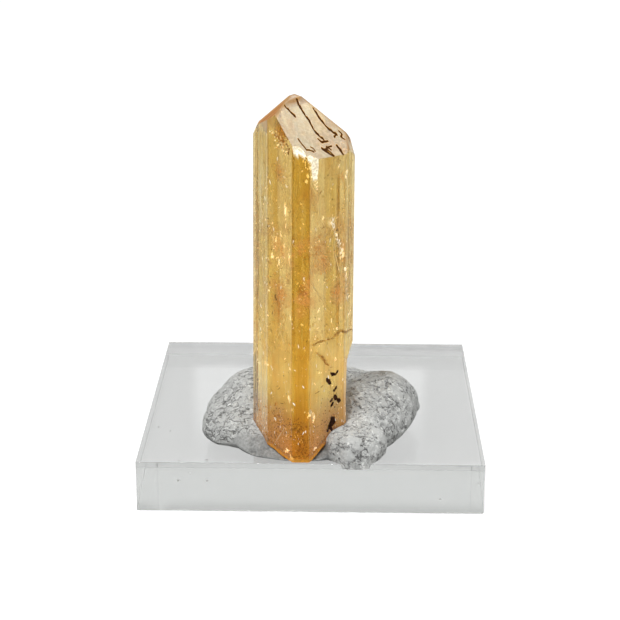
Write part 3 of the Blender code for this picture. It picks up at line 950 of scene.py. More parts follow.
    def rings(self) -> tuple[Array, Array, Array, Array]:
        """Work out the surface as rings: the tip out to its rim, the wall down and the broken end inwards.

        Returns:
            The rings of the tip, of the wall and of the broken end, and the two poles that close them.
        """
        plan, normal, arc, share = self.outline()
        field = np.stack(np.meshgrid(np.linspace(-6, 4, 201), np.linspace(-19, -8, 221)), -1)
        centre = field.reshape(-1, 2)[self.tip_height(field).argmax()]
        top_plan = plan - normal * self.groove_depth(arc, self.tip_height(plan), share)[:, None]
        top, low = self.tip_height(top_plan), self.base_height(plan)
        height = top + (low - top) * np.linspace(0.0, 1.0, self.wall_rows)[:, None]
        wall_plan = plan - normal * self.groove_depth(arc, height, share)[..., None]
        wall = self.flared(self.clip_step(raised(wall_plan, height)))
        wall[-1, :, 2] = self.base_height(wall[-1, :, :2])
        shares = self.ridge_shares(centre, top_plan)[::-1]
        tip_plan = centre + shares[..., None] * (top_plan - centre)
        heart = np.array(self.axis)
        inward = (1.0 - np.arange(1, self.base_rows) / self.base_rows)[:, None, None]
        base_plan = heart + inward * (wall[-1, :, :2] - heart)
        tip = raised(tip_plan, self.tip_height(tip_plan))
        base = raised(base_plan, self.base_height(base_plan))
        poles = np.array([[*centre, self.tip_height(centre)], [*heart, self.base_height(heart)]])
        return tip, wall, base, poles

    def plane_heights(self, points: Array) -> Array:
        """Heights of all the tip's planes over points, along a last axis."""
        planes = np.array((self.front_right, *self.other_planes))
        return planes[:, 2] - points[..., :1] * planes[:, 0] - points[..., 1:2] * planes[:, 1]

    def edge_shade(self, grid: Array, on_tip: Array) -> Array:
        """Painted shade on the edges, dark as glass edges look: bell curves of the distance from the walls'
        corners and from the tip's ridges.
        """
        arc = self.outline()[2]
        starts = np.append(self.face_starts(), arc[-1] + self.column_pitch)
        corner = np.exp(-((np.abs(arc[:, None] - starts).min(-1) / self.edge_width) ** 2))
        pair = np.sort(self.plane_heights(grid), axis=-1)[..., :2]
        ridge = np.exp(-(((pair[..., 1] - pair[..., 0]) / self.ridge_width) ** 2))
        uneven = 0.65 + 0.35 * value_noise(grid / np.array([1.0, 1.0, 2.0]), 19)
        return np.where(on_tip > 0.0, ridge * 1.5, corner) * uneven

    def ember_mark(self, grid: Array, on_tip: Array, on_wall: Array) -> Array:
        """Brown smoke on the tip's left planes, over the left of its main plane and at the walls' head."""
        lowest = self.plane_heights(grid).argmin(-1)
        left = grid[..., 0] - self.veil_x - self.veil_lean * (grid[..., 1] - self.axis[1])
        left = smooth_step(-left + 0.2 * value_noise(grid / 0.4, 27), -0.06, 0.1) * (lowest == 0)
        head = smooth_step(grid[..., 2] + 0.5 * value_noise(grid / 0.5, 28), 41.3, 42.8)
        head = head * smooth_step(-grid[..., 0], 3.1, 4.3) * smooth_step(-grid[..., 1], 12.0, 13.5)
        smoke = np.maximum((lowest == self.left_plane) + 0.4 * (lowest == self.brow_plane), 0.75 * left)
        return smoke * on_tip + 0.6 * head * on_wall

    def stain_mark(self, grid: Array, on_tip: Array) -> Array:
        """Iron stain on the tip: in its channels and marks, and in squiggles at its right."""
        plan = grid[..., :2]
        lowest = self.plane_heights(grid).argmin(-1)
        squiggle = np.exp(-((value_noise(plan / 0.4, 23) / 0.1) ** 2)) * smooth_step(grid[..., 0], 2.5, 3.1)
        squiggle = squiggle * smooth_step(value_noise(plan / 0.6, 24), -0.1, 0.2) * 0.6
        return np.maximum(self.channel_stain(plan), squiggle) * on_tip * (lowest != self.left_plane)

    def broken_mark(self, grid: Array, on_tip: Array, on_base: Array, foot: Array) -> Array:
        """How broken and rusty the surface is: on the end, above its rim and where the slab came away."""
        rusty = 0.8 * (1.0 - smooth_step(grid[..., 2] - foot, 0.1, 0.75)) * (1.0 - on_tip)
        stepped = smooth_step(grid[..., 0], self.step_x - 0.9, self.step_x - 0.3)
        return np.maximum.reduce([on_base, stepped * (grid[..., 2] < self.step_top) * 0.5, rusty])

    def build(self, material: bpy.types.Material) -> None:
        """Make the crystal from its rings, with the channels, ripples and chips pressed in.

        A row of marks is what the finish reads: a number per grid point, then those of the two poles.
        """
        tip, wall, base, poles = self.rings()
        grid = np.concatenate([tip, wall, base])
        rim = len(tip) + len(wall) - 1
        on_tip, on_base = np.zeros((2, *grid.shape[:2]))
        on_tip[: len(tip)] = 1.0
        on_base[rim:] = 1.0
        on_wall = (1.0 - on_tip) * (1.0 - on_base)
        dip = self.channel_dip(grid[..., :2]) * on_tip
        ripple = fractal_noise(grid / 0.5, 17, 3) * 0.002 * on_tip
        grid, chipped = self.scoop_chips(grid)
        grid[..., 2] -= (dip + np.maximum(ripple + self.sink, 0.0)) * (1.0 - chipped)
        number = self.face_numbers()
        pale = np.isin(number, self.pale_faces) + 0.25 * (number == self.half_pale_face)
        ember = self.ember_mark(grid, on_tip, on_wall)
        marks = (
            ("band", np.isin(number, self.band_faces) * on_wall, 0.0, 0.0),
            ("pale", pale * on_wall + on_tip * 0.8, 0.8, 0.0),
            ("milk", np.maximum(on_tip - ember, 0.0) * (1.0 - chipped), 1.0, 0.0),
            ("chip", chipped, 0.0, 0.0),
            # painted shade along the walls' corners and the tip's ridges
            ("edge", self.edge_shade(grid, on_tip), 0.0, 0.0),
            ("ember", ember, 0.0, 0.0),
            ("stain", self.stain_mark(grid, on_tip), 0.0, 0.0),
            ("etched", np.maximum(on_tip * 0.6, chipped), 0.0, 0.0),
            ("broken", self.broken_mark(grid, on_tip, on_base, grid[rim, :, 2]), 0.0, 1.0),
        )
        attributes = {name: np.append(values, [top, low]) for name, values, top, low in marks}
        triangles = tube_triangles(*grid.shape[:2], self.ridge_split(grid, on_tip))
        points = np.concatenate([grid.reshape(-1, 3), poles])
        piece = make_piece("topaz_body", points, triangles, material, attributes, 24.0)
        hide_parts("topaz_crystal")

    def ridge_split(self, grid: Array, on_tip: Array) -> NDArray[np.bool_]:
        """Choose each tip quad's diagonal so that it lies nearer to the planes: the higher of the middles."""
        a, d = grid[:-1], grid[1:]
        b, c = np.roll(a, -1, axis=1), np.roll(d, -1, axis=1)
        straight = self.tip_height((a + c)[..., :2] / 2.0) - (a + c)[..., 2] / 2.0
        other = self.tip_height((b + d)[..., :2] / 2.0) - (b + d)[..., 2] / 2.0
        return (other < straight) & (on_tip[:-1] > 0.0)


# Inside the crystal


@dataclass
class Flakes:
    """Closed lens-shaped bodies in one mesh, each a bent and ragged ball squashed along its own axes."""

    rows: int = 5
    columns: int = 8
    ragged: float = 0.3
    seed: int = 1

    def mesh(self, places: Array, sizes: Array, turns: Array) -> tuple[Array, Index, Array]:
        """Work out the bodies.

        A point is place + R·(size · direction · (1 + ragged · chance)). The direction runs from one flat
        side, along y, over the rim to the other.

        Args:
            places: centres in millimetres, one row to a body.
            sizes: half width, half thickness and half length in millimetres.
            turns: lean of the length from upright and heading about the upright axis, in radians.

        Returns:
            Points, triangles, and how far each point is from its body's thin rim, from 0 to 1.
        """
        count = len(places)
        polar = np.pi * (np.arange(self.rows) + 1.0) / (self.rows + 1.0)
        around = np.arange(self.columns) / self.columns * math.tau
        ring = np.stack([np.cos(around), np.zeros(self.columns), np.sin(around)], -1)
        ball = np.sin(polar)[:, None, None] * ring + np.cos(polar)[:, None, None] * np.array([0.0, 1.0, 0.0])
        ball = np.concatenate([ball.reshape(-1, 3), [[0.0, 1.0, 0.0], [0.0, -1.0, 0.0]]])
        chance = np.random.default_rng(self.seed)
        swell = 1.0 + self.ragged * chance.uniform(-1.0, 1.0, (count, len(ball), 1))
        local = sizes[:, None, :] * ball * swell
        lean, head = turns[:, 0], turns[:, 1]
        zero = np.zeros(count)
        across = np.stack([np.cos(head), np.sin(head), zero], -1)
        through = np.stack([-np.sin(head), np.cos(head), zero], -1)
        upright = np.array([0.0, 0.0, 1.0])
        wide = np.cos(lean)[:, None] * across - np.sin(lean)[:, None] * upright
        long = np.sin(lean)[:, None] * across + np.cos(lean)[:, None] * upright
        turn = np.stack([wide, through, long], 1)
        points = places[:, None, :] + np.einsum("nvk,nkc->nvc", local, turn)
        one = tube_triangles(self.rows, self.columns)
        triangles = one + (np.arange(count) * len(ball))[:, None, None]
        thick = np.tile(np.abs(ball[:, 1]), count)
        return points.reshape(-1, 3), triangles.reshape(-1, 3), thick


def ribbon(path: Array, radius: float, seed: int, columns: int = 8) -> tuple[Array, Index]:
    """A closed seam along a path: rings of changing radius, flattened towards the path's upright.

    Args:
        path: places in millimetres.
        radius: mean half width.
        seed: picks the changes in width.
        columns: points to a ring.

    Returns:
        Points and triangles.
    """
    step = np.concatenate([[0.0], np.cumsum(np.linalg.norm(np.diff(path, axis=0), axis=1))])
    walk = np.linspace(0.0, step[-1], max(8, int(step[-1] / 0.08)))
    line = np.stack([np.interp(walk, step, path[:, axis]) for axis in range(3)], -1)
    line = line + np.stack([value_noise(line / 0.25, seed + axis) for axis in range(3)], -1) * 0.05
    ahead = unit(np.gradient(line, axis=0))
    side = unit(np.cross(ahead, np.array([0.0, 0.0, 1.0])))
    top = np.cross(side, ahead)
    taper = np.sin(np.linspace(0.25, 2.9, len(line)))
    width = radius * (1.0 + 0.6 * value_noise(line / 0.5, seed + 5)) * taper
    around = np.arange(columns)[None, :, None] / columns * math.tau
    ring = np.cos(around) * top[:, None, :] + 0.5 * np.sin(around) * side[:, None, :]
    rings = line[:, None, :] + width[:, None, None] * ring
    points = np.concatenate([rings.reshape(-1, 3), line[:1], line[-1:]])
    return points, tube_triangles(len(line), columns)


@dataclass
class Interior:
    """What is seen inside the crystal. Lengths in mm.

    A table's row is x, y, z, half length, half width and lean in degrees.
    """

    crystal: Crystal
    shrink: float = 0.8
    roof: float = 1.5
    cellar: float = 0.35
    clearance: float = 0.45
    heart_rows: int = 40
    seam_radius: float = 0.16
    grain_shift: tuple[float, float] = (0.158, -0.429)
    face_edges: tuple[float, ...] = (-4.60, -1.97, -0.08, 3.62)
    headings: tuple[float, ...] = (-63.0, -43.4, 0.0, 43.4, 64.0)
    sparks: tuple[tuple[float, ...], ...] = (
        (1.11, -17.39, 33.15, 0.21, 0.16, 20), (1.92, -16.63, 32.28, 0.47, 0.21, -25),
        (2.52, -16.05, 30.91, 0.26, 0.18, -20), (3.24, -15.38, 28.61, 0.53, 0.27, -20),
        (3.47, -15.16, 26.87, 0.43, 0.16, -30), (-0.95, -18.60, 38.49, 0.13, 0.10, 0),
        (-1.05, -18.60, 34.98, 0.08, 0.08, 0), (0.71, -17.77, 23.04, 0.18, 0.12, 30),
        (0.75, -17.73, 22.09, 0.10, 0.10, 0), (3.89, -14.22, 21.45, 0.32, 0.14, 10),
        (-3.11, -17.45, 21.35, 0.16, 0.08, 0), (-0.92, -18.61, 21.71, 0.16, 0.11, -30),
        (2.07, -16.49, 21.47, 0.27, 0.06, 0), (2.67, -15.92, 20.37, 0.16, 0.11, 30),
        (-2.04, -18.46, 22.36, 0.42, 0.08, 0), (-4.39, -16.24, 24.79, 0.16, 0.11, 0),
        (2.52, -16.06, 16.90, 0.24, 0.14, 20), (-2.09, -18.41, 16.67, 0.27, 0.09, -15),
        (0.81, -17.67, 15.92, 0.10, 0.10, 0), (-4.75, -15.52, 16.11, 0.27, 0.08, 5),
        (-2.43, -18.09, 6.92, 0.27, 0.22, 35), (-1.98, -18.52, 6.28, 0.33, 0.16, 0),
        (-0.15, -18.61, 11.42, 0.32, 0.13, 15), (0.22, -18.24, 10.97, 0.54, 0.14, 5),
        (-5.65, -13.75, 9.07, 0.67, 0.10, 0), (-2.20, -18.31, 13.12, 0.54, 0.09, -15),
        (0.39, -18.07, 7.19, 0.27, 0.16, -30), (-2.54, -17.99, 33.93, 0.83, 0.14, 0),
        (-2.16, -18.35, 29.04, 0.78, 0.07, 0), (3.52, -14.98, 26.02, 0.32, 0.11, 20),
        (2.73, -15.86, 38.31, 0.21, 0.10, 20), (3.51, -15.00, 37.59, 0.32, 0.13, 15),
        (3.45, -15.18, 37.06, 0.26, 0.11, 0), (-0.33, -18.60, 37.97, 0.26, 0.15, 0),
        (-0.53, -18.60, 37.33, 0.21, 0.15, 0), (-0.14, -18.57, 38.80, 0.26, 0.10, 0),
        (-3.59, -16.99, 30.59, 0.37, 0.13, 15), (-3.05, -17.50, 31.29, 0.31, 0.10, -15),
        (-4.04, -16.57, 28.69, 0.42, 0.16, 10), (-3.27, -17.29, 28.26, 0.32, 0.11, 0),
        (-2.73, -17.81, 30.19, 0.31, 0.09, 0),
    )
    specks: tuple[tuple[float, ...], ...] = (
        (-4.39, -16.36, 39.23, 0.08, 0.06, 0), (-3.81, -16.91, 38.81, 0.06, 0.05, 0),
        (-3.28, -17.41, 37.69, 0.08, 0.07, 20), (1.63, -17.02, 37.64, 0.11, 0.07, 60),
        (2.76, -15.96, 34.28, 0.06, 0.06, 0), (-4.50, -16.25, 31.84, 0.16, 0.08, 40),
        (2.62, -16.09, 31.46, 0.13, 0.11, 0), (-5.56, -14.12, 22.69, 0.08, 0.06, 0),
        (-5.53, -14.18, 21.68, 0.11, 0.07, 0), (-4.09, -16.64, 23.12, 0.09, 0.06, 0),
        (-4.05, -16.68, 22.34, 0.10, 0.07, 0), (-5.08, -15.06, 22.90, 0.08, 0.06, 0),
        (-5.20, -14.82, 22.47, 0.08, 0.06, 0), (-0.50, -18.71, 23.86, 0.08, 0.06, 0),
        (-0.45, -18.71, 23.53, 0.06, 0.05, 0), (-2.89, -17.78, 20.25, 0.07, 0.05, 0),
        (-5.40, -14.43, 19.46, 0.11, 0.07, 20), (-2.94, -17.73, 20.63, 0.07, 0.05, 0),
        (-5.62, -13.99, 13.69, 0.11, 0.08, 0), (-5.63, -13.98, 13.09, 0.09, 0.07, 0),
        (-5.77, -13.70, 10.00, 0.12, 0.08, 20), (-6.15, -12.95, 8.36, 0.10, 0.08, 0),
        (2.51, -16.20, 11.36, 0.11, 0.08, 20), (3.25, -15.50, 10.61, 0.13, 0.09, 20),
        (1.18, -17.46, 7.86, 0.11, 0.09, 30), (-3.81, -16.90, 8.16, 0.27, 0.05, -25),
        (-4.58, -16.05, 7.18, 0.11, 0.08, 0), (-1.55, -18.71, 10.37, 0.08, 0.08, 0),
        (-4.23, -16.51, 40.58, 0.08, 0.06, 0), (-5.82, -13.60, 34.75, 0.13, 0.07, 0),
        (-5.12, -14.98, 34.69, 0.11, 0.07, 0), (-5.98, -13.28, 36.52, 0.11, 0.06, 0),
    )
    grains: tuple[tuple[float, ...], ...] = (
        (2.28, -16.11, 15.34, 0.33, 0.12, -65), (2.67, -15.74, 15.41, 0.20, 0.11, 40),
        (2.21, -16.17, 15.23, 0.16, 0.09, 70), (1.74, -16.61, 14.68, 0.36, 0.16, -42),
        (2.51, -15.89, 13.56, 0.19, 0.11, 35), (2.36, -16.03, 13.38, 0.14, 0.10, -30),
        (2.49, -15.90, 12.51, 0.28, 0.20, -35), (2.85, -15.57, 12.07, 0.24, 0.18, -50),
        (2.08, -16.29, 12.33, 0.19, 0.10, 50), (2.15, -16.23, 11.83, 0.23, 0.13, 35),
        (2.20, -16.18, 9.80, 0.42, 0.30, 30), (1.86, -16.46, 9.30, 0.22, 0.18, 0),
        (2.08, -16.29, 8.95, 0.25, 0.13, -35), (1.69, -16.66, 8.91, 0.14, 0.12, 0),
    )
    seams: tuple[tuple[Place, ...], ...] = (
        (
            (0.03, -18.57, 19.49), (0.23, -18.39, 19.32), (0.68, -17.96, 19.50), (1.44, -17.24, 19.45),
            (2.19, -16.53, 19.45), (2.56, -16.18, 19.70), (3.06, -15.71, 20.10), (3.42, -15.37, 19.82),
            (3.65, -14.96, 19.56), (3.98, -14.29, 19.62), (4.53, -13.16, 19.31),
        ),
        (
            (0.54, -17.99, 18.35), (0.85, -17.70, 17.96), (1.31, -17.26, 17.27), (1.54, -17.05, 16.76),
            (1.82, -16.79, 16.45), (2.12, -16.50, 16.49),
        ),
    )
    smoke: tuple[tuple[float, ...], ...] = (
        (0.1, -17.2, 29.9, 2.2, 1.5, 0), (1.2, -16.9, 28.3, 1.9, 1.3, -20),
        (3.01, -15.41, 36.96, 0.79, 0.37, 0), (-3.03, -17.09, 38.01, 1.35, 0.78, -10),
        (-3.02, -16.49, 23.86, 3.18, 1.27, 0), (2.36, -15.54, 24.46, 1.49, 0.96, 0),
    )
    fire: tuple[tuple[float, ...], ...] = (
        (-2.98, -17.39, 42.08, 1.34, 0.88, -25), (-1.03, -18.46, 25.48, 0.89, 0.58, 0),
    )
    honey: tuple[tuple[float, ...], ...] = (
        (1.9, -16.85, 32.4, 1.0, 0.45, -35), (-2.35, -18.1, 33.4, 1.3, 0.32, 0),
        (3.3, -15.3, 26.0, 1.3, 0.35, -20), (-3.18, -16.59, 29.88, 1.79, 0.95, 0),
        (-4.20, -15.38, 33.48, 2.10, 1.05, 0), (-1.15, -18.16, 32.76, 3.11, 0.83, 0),
        (1.63, -15.62, 13.28, 3.26, 1.09, 0),
    )

    def heart(self) -> None:
        """Make the cloudy inner surface: the crystal's outline shrunk to its axis and closed at both ends."""
        crystal = self.crystal
        axis = np.array(crystal.axis)
        plan = axis + (crystal.outline()[0] - axis) * self.shrink
        margin = np.array([self.clearance, 0.0, 0.0])
        shares = np.linspace(0.0, 1.0, self.heart_rows)[:, None]
        top, low = crystal.tip_height(plan) - self.roof, crystal.base_height(plan) + self.cellar
        wall = raised(np.tile(plan, (self.heart_rows, 1, 1)), top + (low - top) * shares)
        wall = crystal.clip_step(wall + margin) - margin
        inward = np.linspace(0.08, 0.92, 10)[:, None, None]
        tip_plan = axis + inward * (wall[0, :, :2] - axis)
        foot_plan = axis + inward[::-1] * (wall[-1, :, :2] - axis)
        tip = raised(tip_plan, crystal.tip_height(tip_plan) - self.roof)
        foot = raised(foot_plan, crystal.base_height(foot_plan) + self.cellar)
        grid = np.concatenate([tip, wall, foot])
        poles = np.array([
            [*axis, crystal.tip_height(axis) - self.roof], [*axis, crystal.base_height(axis) + self.cellar],
        ])
        band = np.tile(np.isin(crystal.face_numbers(), crystal.band_faces).astype(float), (len(grid), 1))
        points = np.concatenate([grid.reshape(-1, 3), poles])
        triangles = tube_triangles(*grid.shape[:2])
        attributes = {"band": np.append(band, [0.0, 0.0])}
        make_piece("topaz_heart", points, triangles, HeartFinish().material(), attributes)

    def strewn(self, count: int, seed: int, near: float, far: float, top: float = 1.0) -> Array:
        """Random places inside: a bearing, a share of the way to the wall and a height between base and tip.

        Args:
            count: how many.
            seed: picks the places.
            near: least share of the way from the axis to the wall.
            far: greatest share.
            top: share of the height that is used.

        Returns:
            One place to a row.
        """
        chance = np.random.default_rng(seed)
        angle = chance.uniform(0.0, math.tau, count)
        share = np.sqrt(chance.uniform(near**2, far**2, count)) * self.crystal.wall_radius(angle)
        plan = np.array(self.crystal.axis) + np.stack([np.cos(angle), np.sin(angle)], -1) * share[:, None]
        low, high = self.crystal.base_height(plan) + 0.5, self.crystal.tip_height(plan) - 0.5
        height = low + (high - low) * chance.uniform(0.0, top, count)
        return raised(plan, height)

    def streak(self, start: Place, end: Place, count: int, spread: float, seed: int) -> Array:
        """Random places about a line."""
        chance = np.random.default_rng(seed)
        share = chance.uniform(0.0, 1.0, (count, 1))
        offset = chance.normal(0.0, spread, (count, 3)) * np.array([1.0, 0.0, 1.0])
        return np.array(start) + (np.array(end) - np.array(start)) * share + offset

    def places(self, *rows: tuple) -> Array:
        """Join random places: a row that begins with a place is a streak's, any other is strewn."""
        return np.concatenate([
            self.streak(*row) if isinstance(row[0], tuple) else self.strewn(*row) for row in rows
        ])

    def heading(self, places: Array) -> Array:
        """Which way a flake's flat side faces: along the wall before it, or along its bearing at the back."""
        front = np.radians(np.array(self.headings)[np.searchsorted(self.face_edges, places[:, 0])])
        away = places[:, :2] - np.array(self.crystal.axis)
        bearing = np.arctan2(away[:, 1], away[:, 0]) + math.pi / 2.0
        return np.where(places[:, 1] < self.crystal.axis[1] - 1.0, front, bearing)

    def flakes(
        self,
        name: str,
        table: Array,
        extra: Array,
        sizes: tuple[float, float, float],
        finish: FlakeFinish,
        shape: Flakes,
        flat: float,
        crease: Optional[float] = None,
        lean: tuple[float, float] = (0.0, 22.0),
    ) -> None:
        """Make one piece of flakes.

        Args:
            name: the piece's name.
            table: placed flakes.
            extra: places of more flakes, whose sizes are drawn at random.
            sizes: least and greatest half length, and half width as a share of it, of those.
            finish: their finish.
            shape: their make.
            flat: thickness as a share of width.
            crease: angle past which edges are sharp, or None for flat faces.
            lean: mean and spread, in degrees, of the lean of those drawn at random.
        """
        chance = np.random.default_rng(shape.seed + 50)
        placed = np.array(table).reshape(-1, 6)
        long = sizes[0] * (sizes[1] / sizes[0]) ** chance.uniform(0.0, 1.0, len(extra))
        wide = long * sizes[2] * chance.uniform(0.6, 1.4, len(extra))
        tilt = np.radians(chance.normal(*lean, len(extra)))
        places = np.concatenate([placed[:, :3], extra])
        long = np.concatenate([placed[:, 3], long])
        wide = np.concatenate([placed[:, 4], wide])
        tilt = np.concatenate([np.radians(placed[:, 5]), tilt])
        turns = np.stack([tilt, self.heading(places)], -1)
        points, triangles, thick = shape.mesh(places, np.stack([wide, wide * flat, long], -1), turns)
        make_piece(name, points, triangles, finish.material(), {"thick": thick}, crease)

    def splinters(
        self, table: Array, parts: int, seed: int, share: tuple[float, float] = (0.15, 0.55),
    ) -> Array:
        """Break each placed flake into smaller ones strewn over its oval, in the plane of the wall before it.

        Args:
            table: placed flakes.
            parts: how many splinters each gives.
            seed: picks them.
            share: least and greatest size of a splinter as a share of the flake's.

        Returns:
            Rows like the table's.
        """
        chance = np.random.default_rng(seed)
        rows = np.repeat(np.array(table), parts, axis=0)
        angle = chance.uniform(0.0, math.tau, len(rows))
        reach = np.abs(chance.normal(0.0, 0.65, len(rows)))
        along, across = reach * np.cos(angle) * rows[:, 3], reach * np.sin(angle) * rows[:, 4]
        lean = np.radians(rows[:, 5])
        head = self.heading(rows[:, :3])
        side = along * np.sin(lean) + across * np.cos(lean)
        rows[:, 0] += side * np.cos(head)
        rows[:, 1] += side * np.sin(head)
        rows[:, 2] += along * np.cos(lean) - across * np.sin(lean)
        rows[:, 3:5] *= chance.uniform(*share, (len(rows), 1))
        rows[:, 5] += chance.normal(0.0, 25.0, len(rows))
        return rows

    def glints(self) -> None:
        """Make the bright marks: sparks inside, glints in the surface and pale threads along the growth."""
        # Painted glints: the gold sparks give off light of their own (glow 1.0) besides their metal sheen.
        gold = FlakeFinish("spark_gold", (1.0, 0.98, 0.86), (0.90, 0.66, 0.28), 0.12, 0.3, 0.2, 1.0)
        inner = self.places(
            (620, 11, 0.6, 0.97, 0.84),
            ((-0.9, -18.3, 40.4), (0.45, -17.9, 36.4), 46, 0.16, 12),
            ((3.45, -15.1, 25.9), (3.9, -14.3, 23.2), 30, 0.2, 13),
            ((-5.75, -13.9, 18.6), (-5.75, -13.9, 15.4), 22, 0.12, 14),
            ((-4.1, -16.5, 31.5), (-2.9, -17.3, 27.6), 44, 0.35, 15),
            ((-0.9, -18.5, 26.4), (-1.2, -18.5, 24.6), 26, 0.22, 16),
            ((-3.6, -16.9, 42.4), (-2.3, -17.9, 40.0), 90, 0.4, 17),
            ((-3.2, -17.2, 9.9), (-0.9, -18.3, 8.0), 44, 0.5, 18),
        )
        sparks = self.splinters(self.sparks, 24, 81, (0.07, 0.34)) * np.array([1.0, 1.0, 1.0, 1.2, 1.3, 1.0])
        self.flakes("gold_sparks", sparks, inner, (0.03, 0.14, 0.4), gold, Flakes(4, 7, 0.35, 21), 0.3)
        white = FlakeFinish("glint_white", (1.0, 0.98, 0.90), (0.90, 0.78, 0.50), 0.1, 0.3)
        outer = self.places(
            (460, 22, 0.995, 1.0, 0.93),
            ((3.3, -15.55, 27.2), (3.75, -14.8, 23.4), 80, 0.14, 23),
            ((2.0, -16.98, 33.0), (3.2, -15.85, 28.5), 110, 0.2, 25),
            ((-0.2, -18.75, 12.0), (0.3, -18.5, 10.6), 24, 0.14, 26),
            (90, 27, 0.995, 1.0, 0.1),
        )
        self.flakes("surface_glints", (), outer, (0.04, 0.26, 0.24), white, Flakes(3, 6, 0.35, 24), 0.3)
        thread = FlakeFinish("thread_pale", (1.0, 0.97, 0.82), (0.94, 0.80, 0.46), 0.6, 0.4, 0.0, 0.15)
        fibres = self.strewn(240, 31, 0.6, 0.96, 0.9)
        shape = Flakes(5, 8, 0.1, 32)
        self.flakes("growth_threads", (), fibres, (0.4, 2.2, 0.025), thread, shape, 0.8, 60.0)

    def dark_marks(self) -> None:
        """Make the dark marks: hair cracks, iron specks and the grains at the lower right."""
        hair = FlakeFinish("crack_brown", (0.62, 0.34, 0.08), (0.22, 0.10, 0.02), 0.15, 0.6)
        cracks = self.places((260, 35, 0.75, 0.99, 0.9), (170, 36, 0.8, 0.99, 0.35))
        shape = Flakes(4, 6, 0.4, 37)
        self.flakes("hair_cracks", (), cracks, (0.06, 0.36, 0.12), hair, shape, 0.6, lean=(80.0, 35.0))
        iron = FlakeFinish("speck_iron", (0.16, 0.08, 0.03), (0.04, 0.02, 0.008), 0.1, 0.6)
        dots = self.places((160, 41, 0.7, 0.98), (70, 43, 0.99, 1.0))
        self.flakes("iron_specks", self.specks, dots, (0.03, 0.08, 0.8), iron, Flakes(3, 6, 0.3, 42), 0.7)
        dark = FlakeFinish("grain_dark", (0.05, 0.02, 0.01), (0.012, 0.006, 0.004), 0.25, 0.5)
        more = self.strewn(5, 52, 0.3, 0.6, 0.5)
        large = np.array(self.grains) * np.array([1.0, 1.0, 1.0, 1.75, 1.6, 1.0])
        large[:, :2] += self.grain_shift
        grains = np.concatenate([large, self.splinters(large, 2, 54, (0.12, 0.4))])
        self.flakes("dark_grains", grains, more, (0.18, 0.4, 0.5), dark, Flakes(3, 5, 0.2, 51), 0.5)

    def clouds(self) -> None:
        """Make the soft-edged clouds, rose, orange and honey coloured."""
        rose = FlakeFinish("cloud_rose", (0.90, 0.55, 0.22), (0.76, 0.42, 0.15), 0.3, 0.7, 0.0, 0.12, 0.42)
        puffs = self.strewn(8, 61, 0.3, 0.75)
        shape = Flakes(9, 20, 0.04, 62)
        self.flakes("rose_clouds", self.smoke, puffs, (0.7, 1.9, 0.55), rose, shape, 0.35, 60.0)
        glow = FlakeFinish("cloud_ember", (0.96, 0.60, 0.10), (0.70, 0.28, 0.03), 0.22, 0.6, 0.0, 0.1, 0.7)
        embers = self.strewn(40, 71, 0.4, 0.9, 0.14)
        shape = Flakes(9, 20, 0.04, 72)
        self.flakes("ember_clouds", self.fire, embers, (0.3, 0.9, 0.6), glow, shape, 0.3, 60.0)
        sweet = FlakeFinish("cloud_honey", (1.0, 0.94, 0.62), (0.98, 0.80, 0.38), 0.5, 0.6, 0.0, 0.16, 0.6)
        drops = self.strewn(16, 81, 0.3, 0.75)
        shape = Flakes(9, 20, 0.04, 82)
        self.flakes("honey_clouds", self.honey, drops, (0.9, 2.6, 0.4), sweet, shape, 0.35, 60.0)

    def rust(self) -> None:
        """Make the rusty grains of the foot and the tip's left, the peach grains and the healed cracks."""
        rusty = FlakeFinish("grain_rust", (0.66, 0.31, 0.06), (0.26, 0.09, 0.015), 0.15, 0.5)
        crumbs = self.places(
            (300, 101, 0.55, 0.97, 0.12),
            (420, 109, 0.985, 1.0, 0.115),
            ((-3.6, -16.8, 10.9), (-2.6, -17.8, 9.6), 60, 0.4, 102),
            ((-1.6, -18.5, 10.8), (-0.7, -18.5, 6.9), 170, 0.35, 103),
            ((-1.3, -18.55, 25.9), (-0.8, -18.55, 24.9), 30, 0.2, 104),
            ((-3.7, -16.9, 42.3), (-2.4, -17.9, 40.4), 110, 0.35, 105),
        )
        self.flakes("rust_grains", (), crumbs, (0.04, 0.13, 0.7), rusty, Flakes(3, 6, 0.3, 106), 0.4)
        peach = FlakeFinish("grain_peach", (1.0, 0.76, 0.36), (0.74, 0.36, 0.10), 0.15, 0.6, 0.0, 0.2)
        haze = self.splinters(self.smoke, 120, 107, (0.02, 0.06))
        none = np.zeros((0, 3))
        self.flakes("peach_grains", haze, none, (0.1, 0.2, 0.5), peach, Flakes(3, 6, 0.3, 108), 0.4)
        seam = FlakeFinish("seam_rust", (0.95, 0.66, 0.22), (0.34, 0.14, 0.02), 0.22, 0.45, 0.0, 0.1)
        material = seam.material()
        for number, path in enumerate(self.seams):
            points, triangles = ribbon(np.array(path), self.seam_radius, 90 + number)
            make_piece(f"healed_crack_{number + 1}", points, triangles, material)

    def build(self) -> None:
        """Make every inner piece."""
        self.heart()
        self.glints()
        self.dark_marks()
        self.clouds()
        self.rust()


# The putty


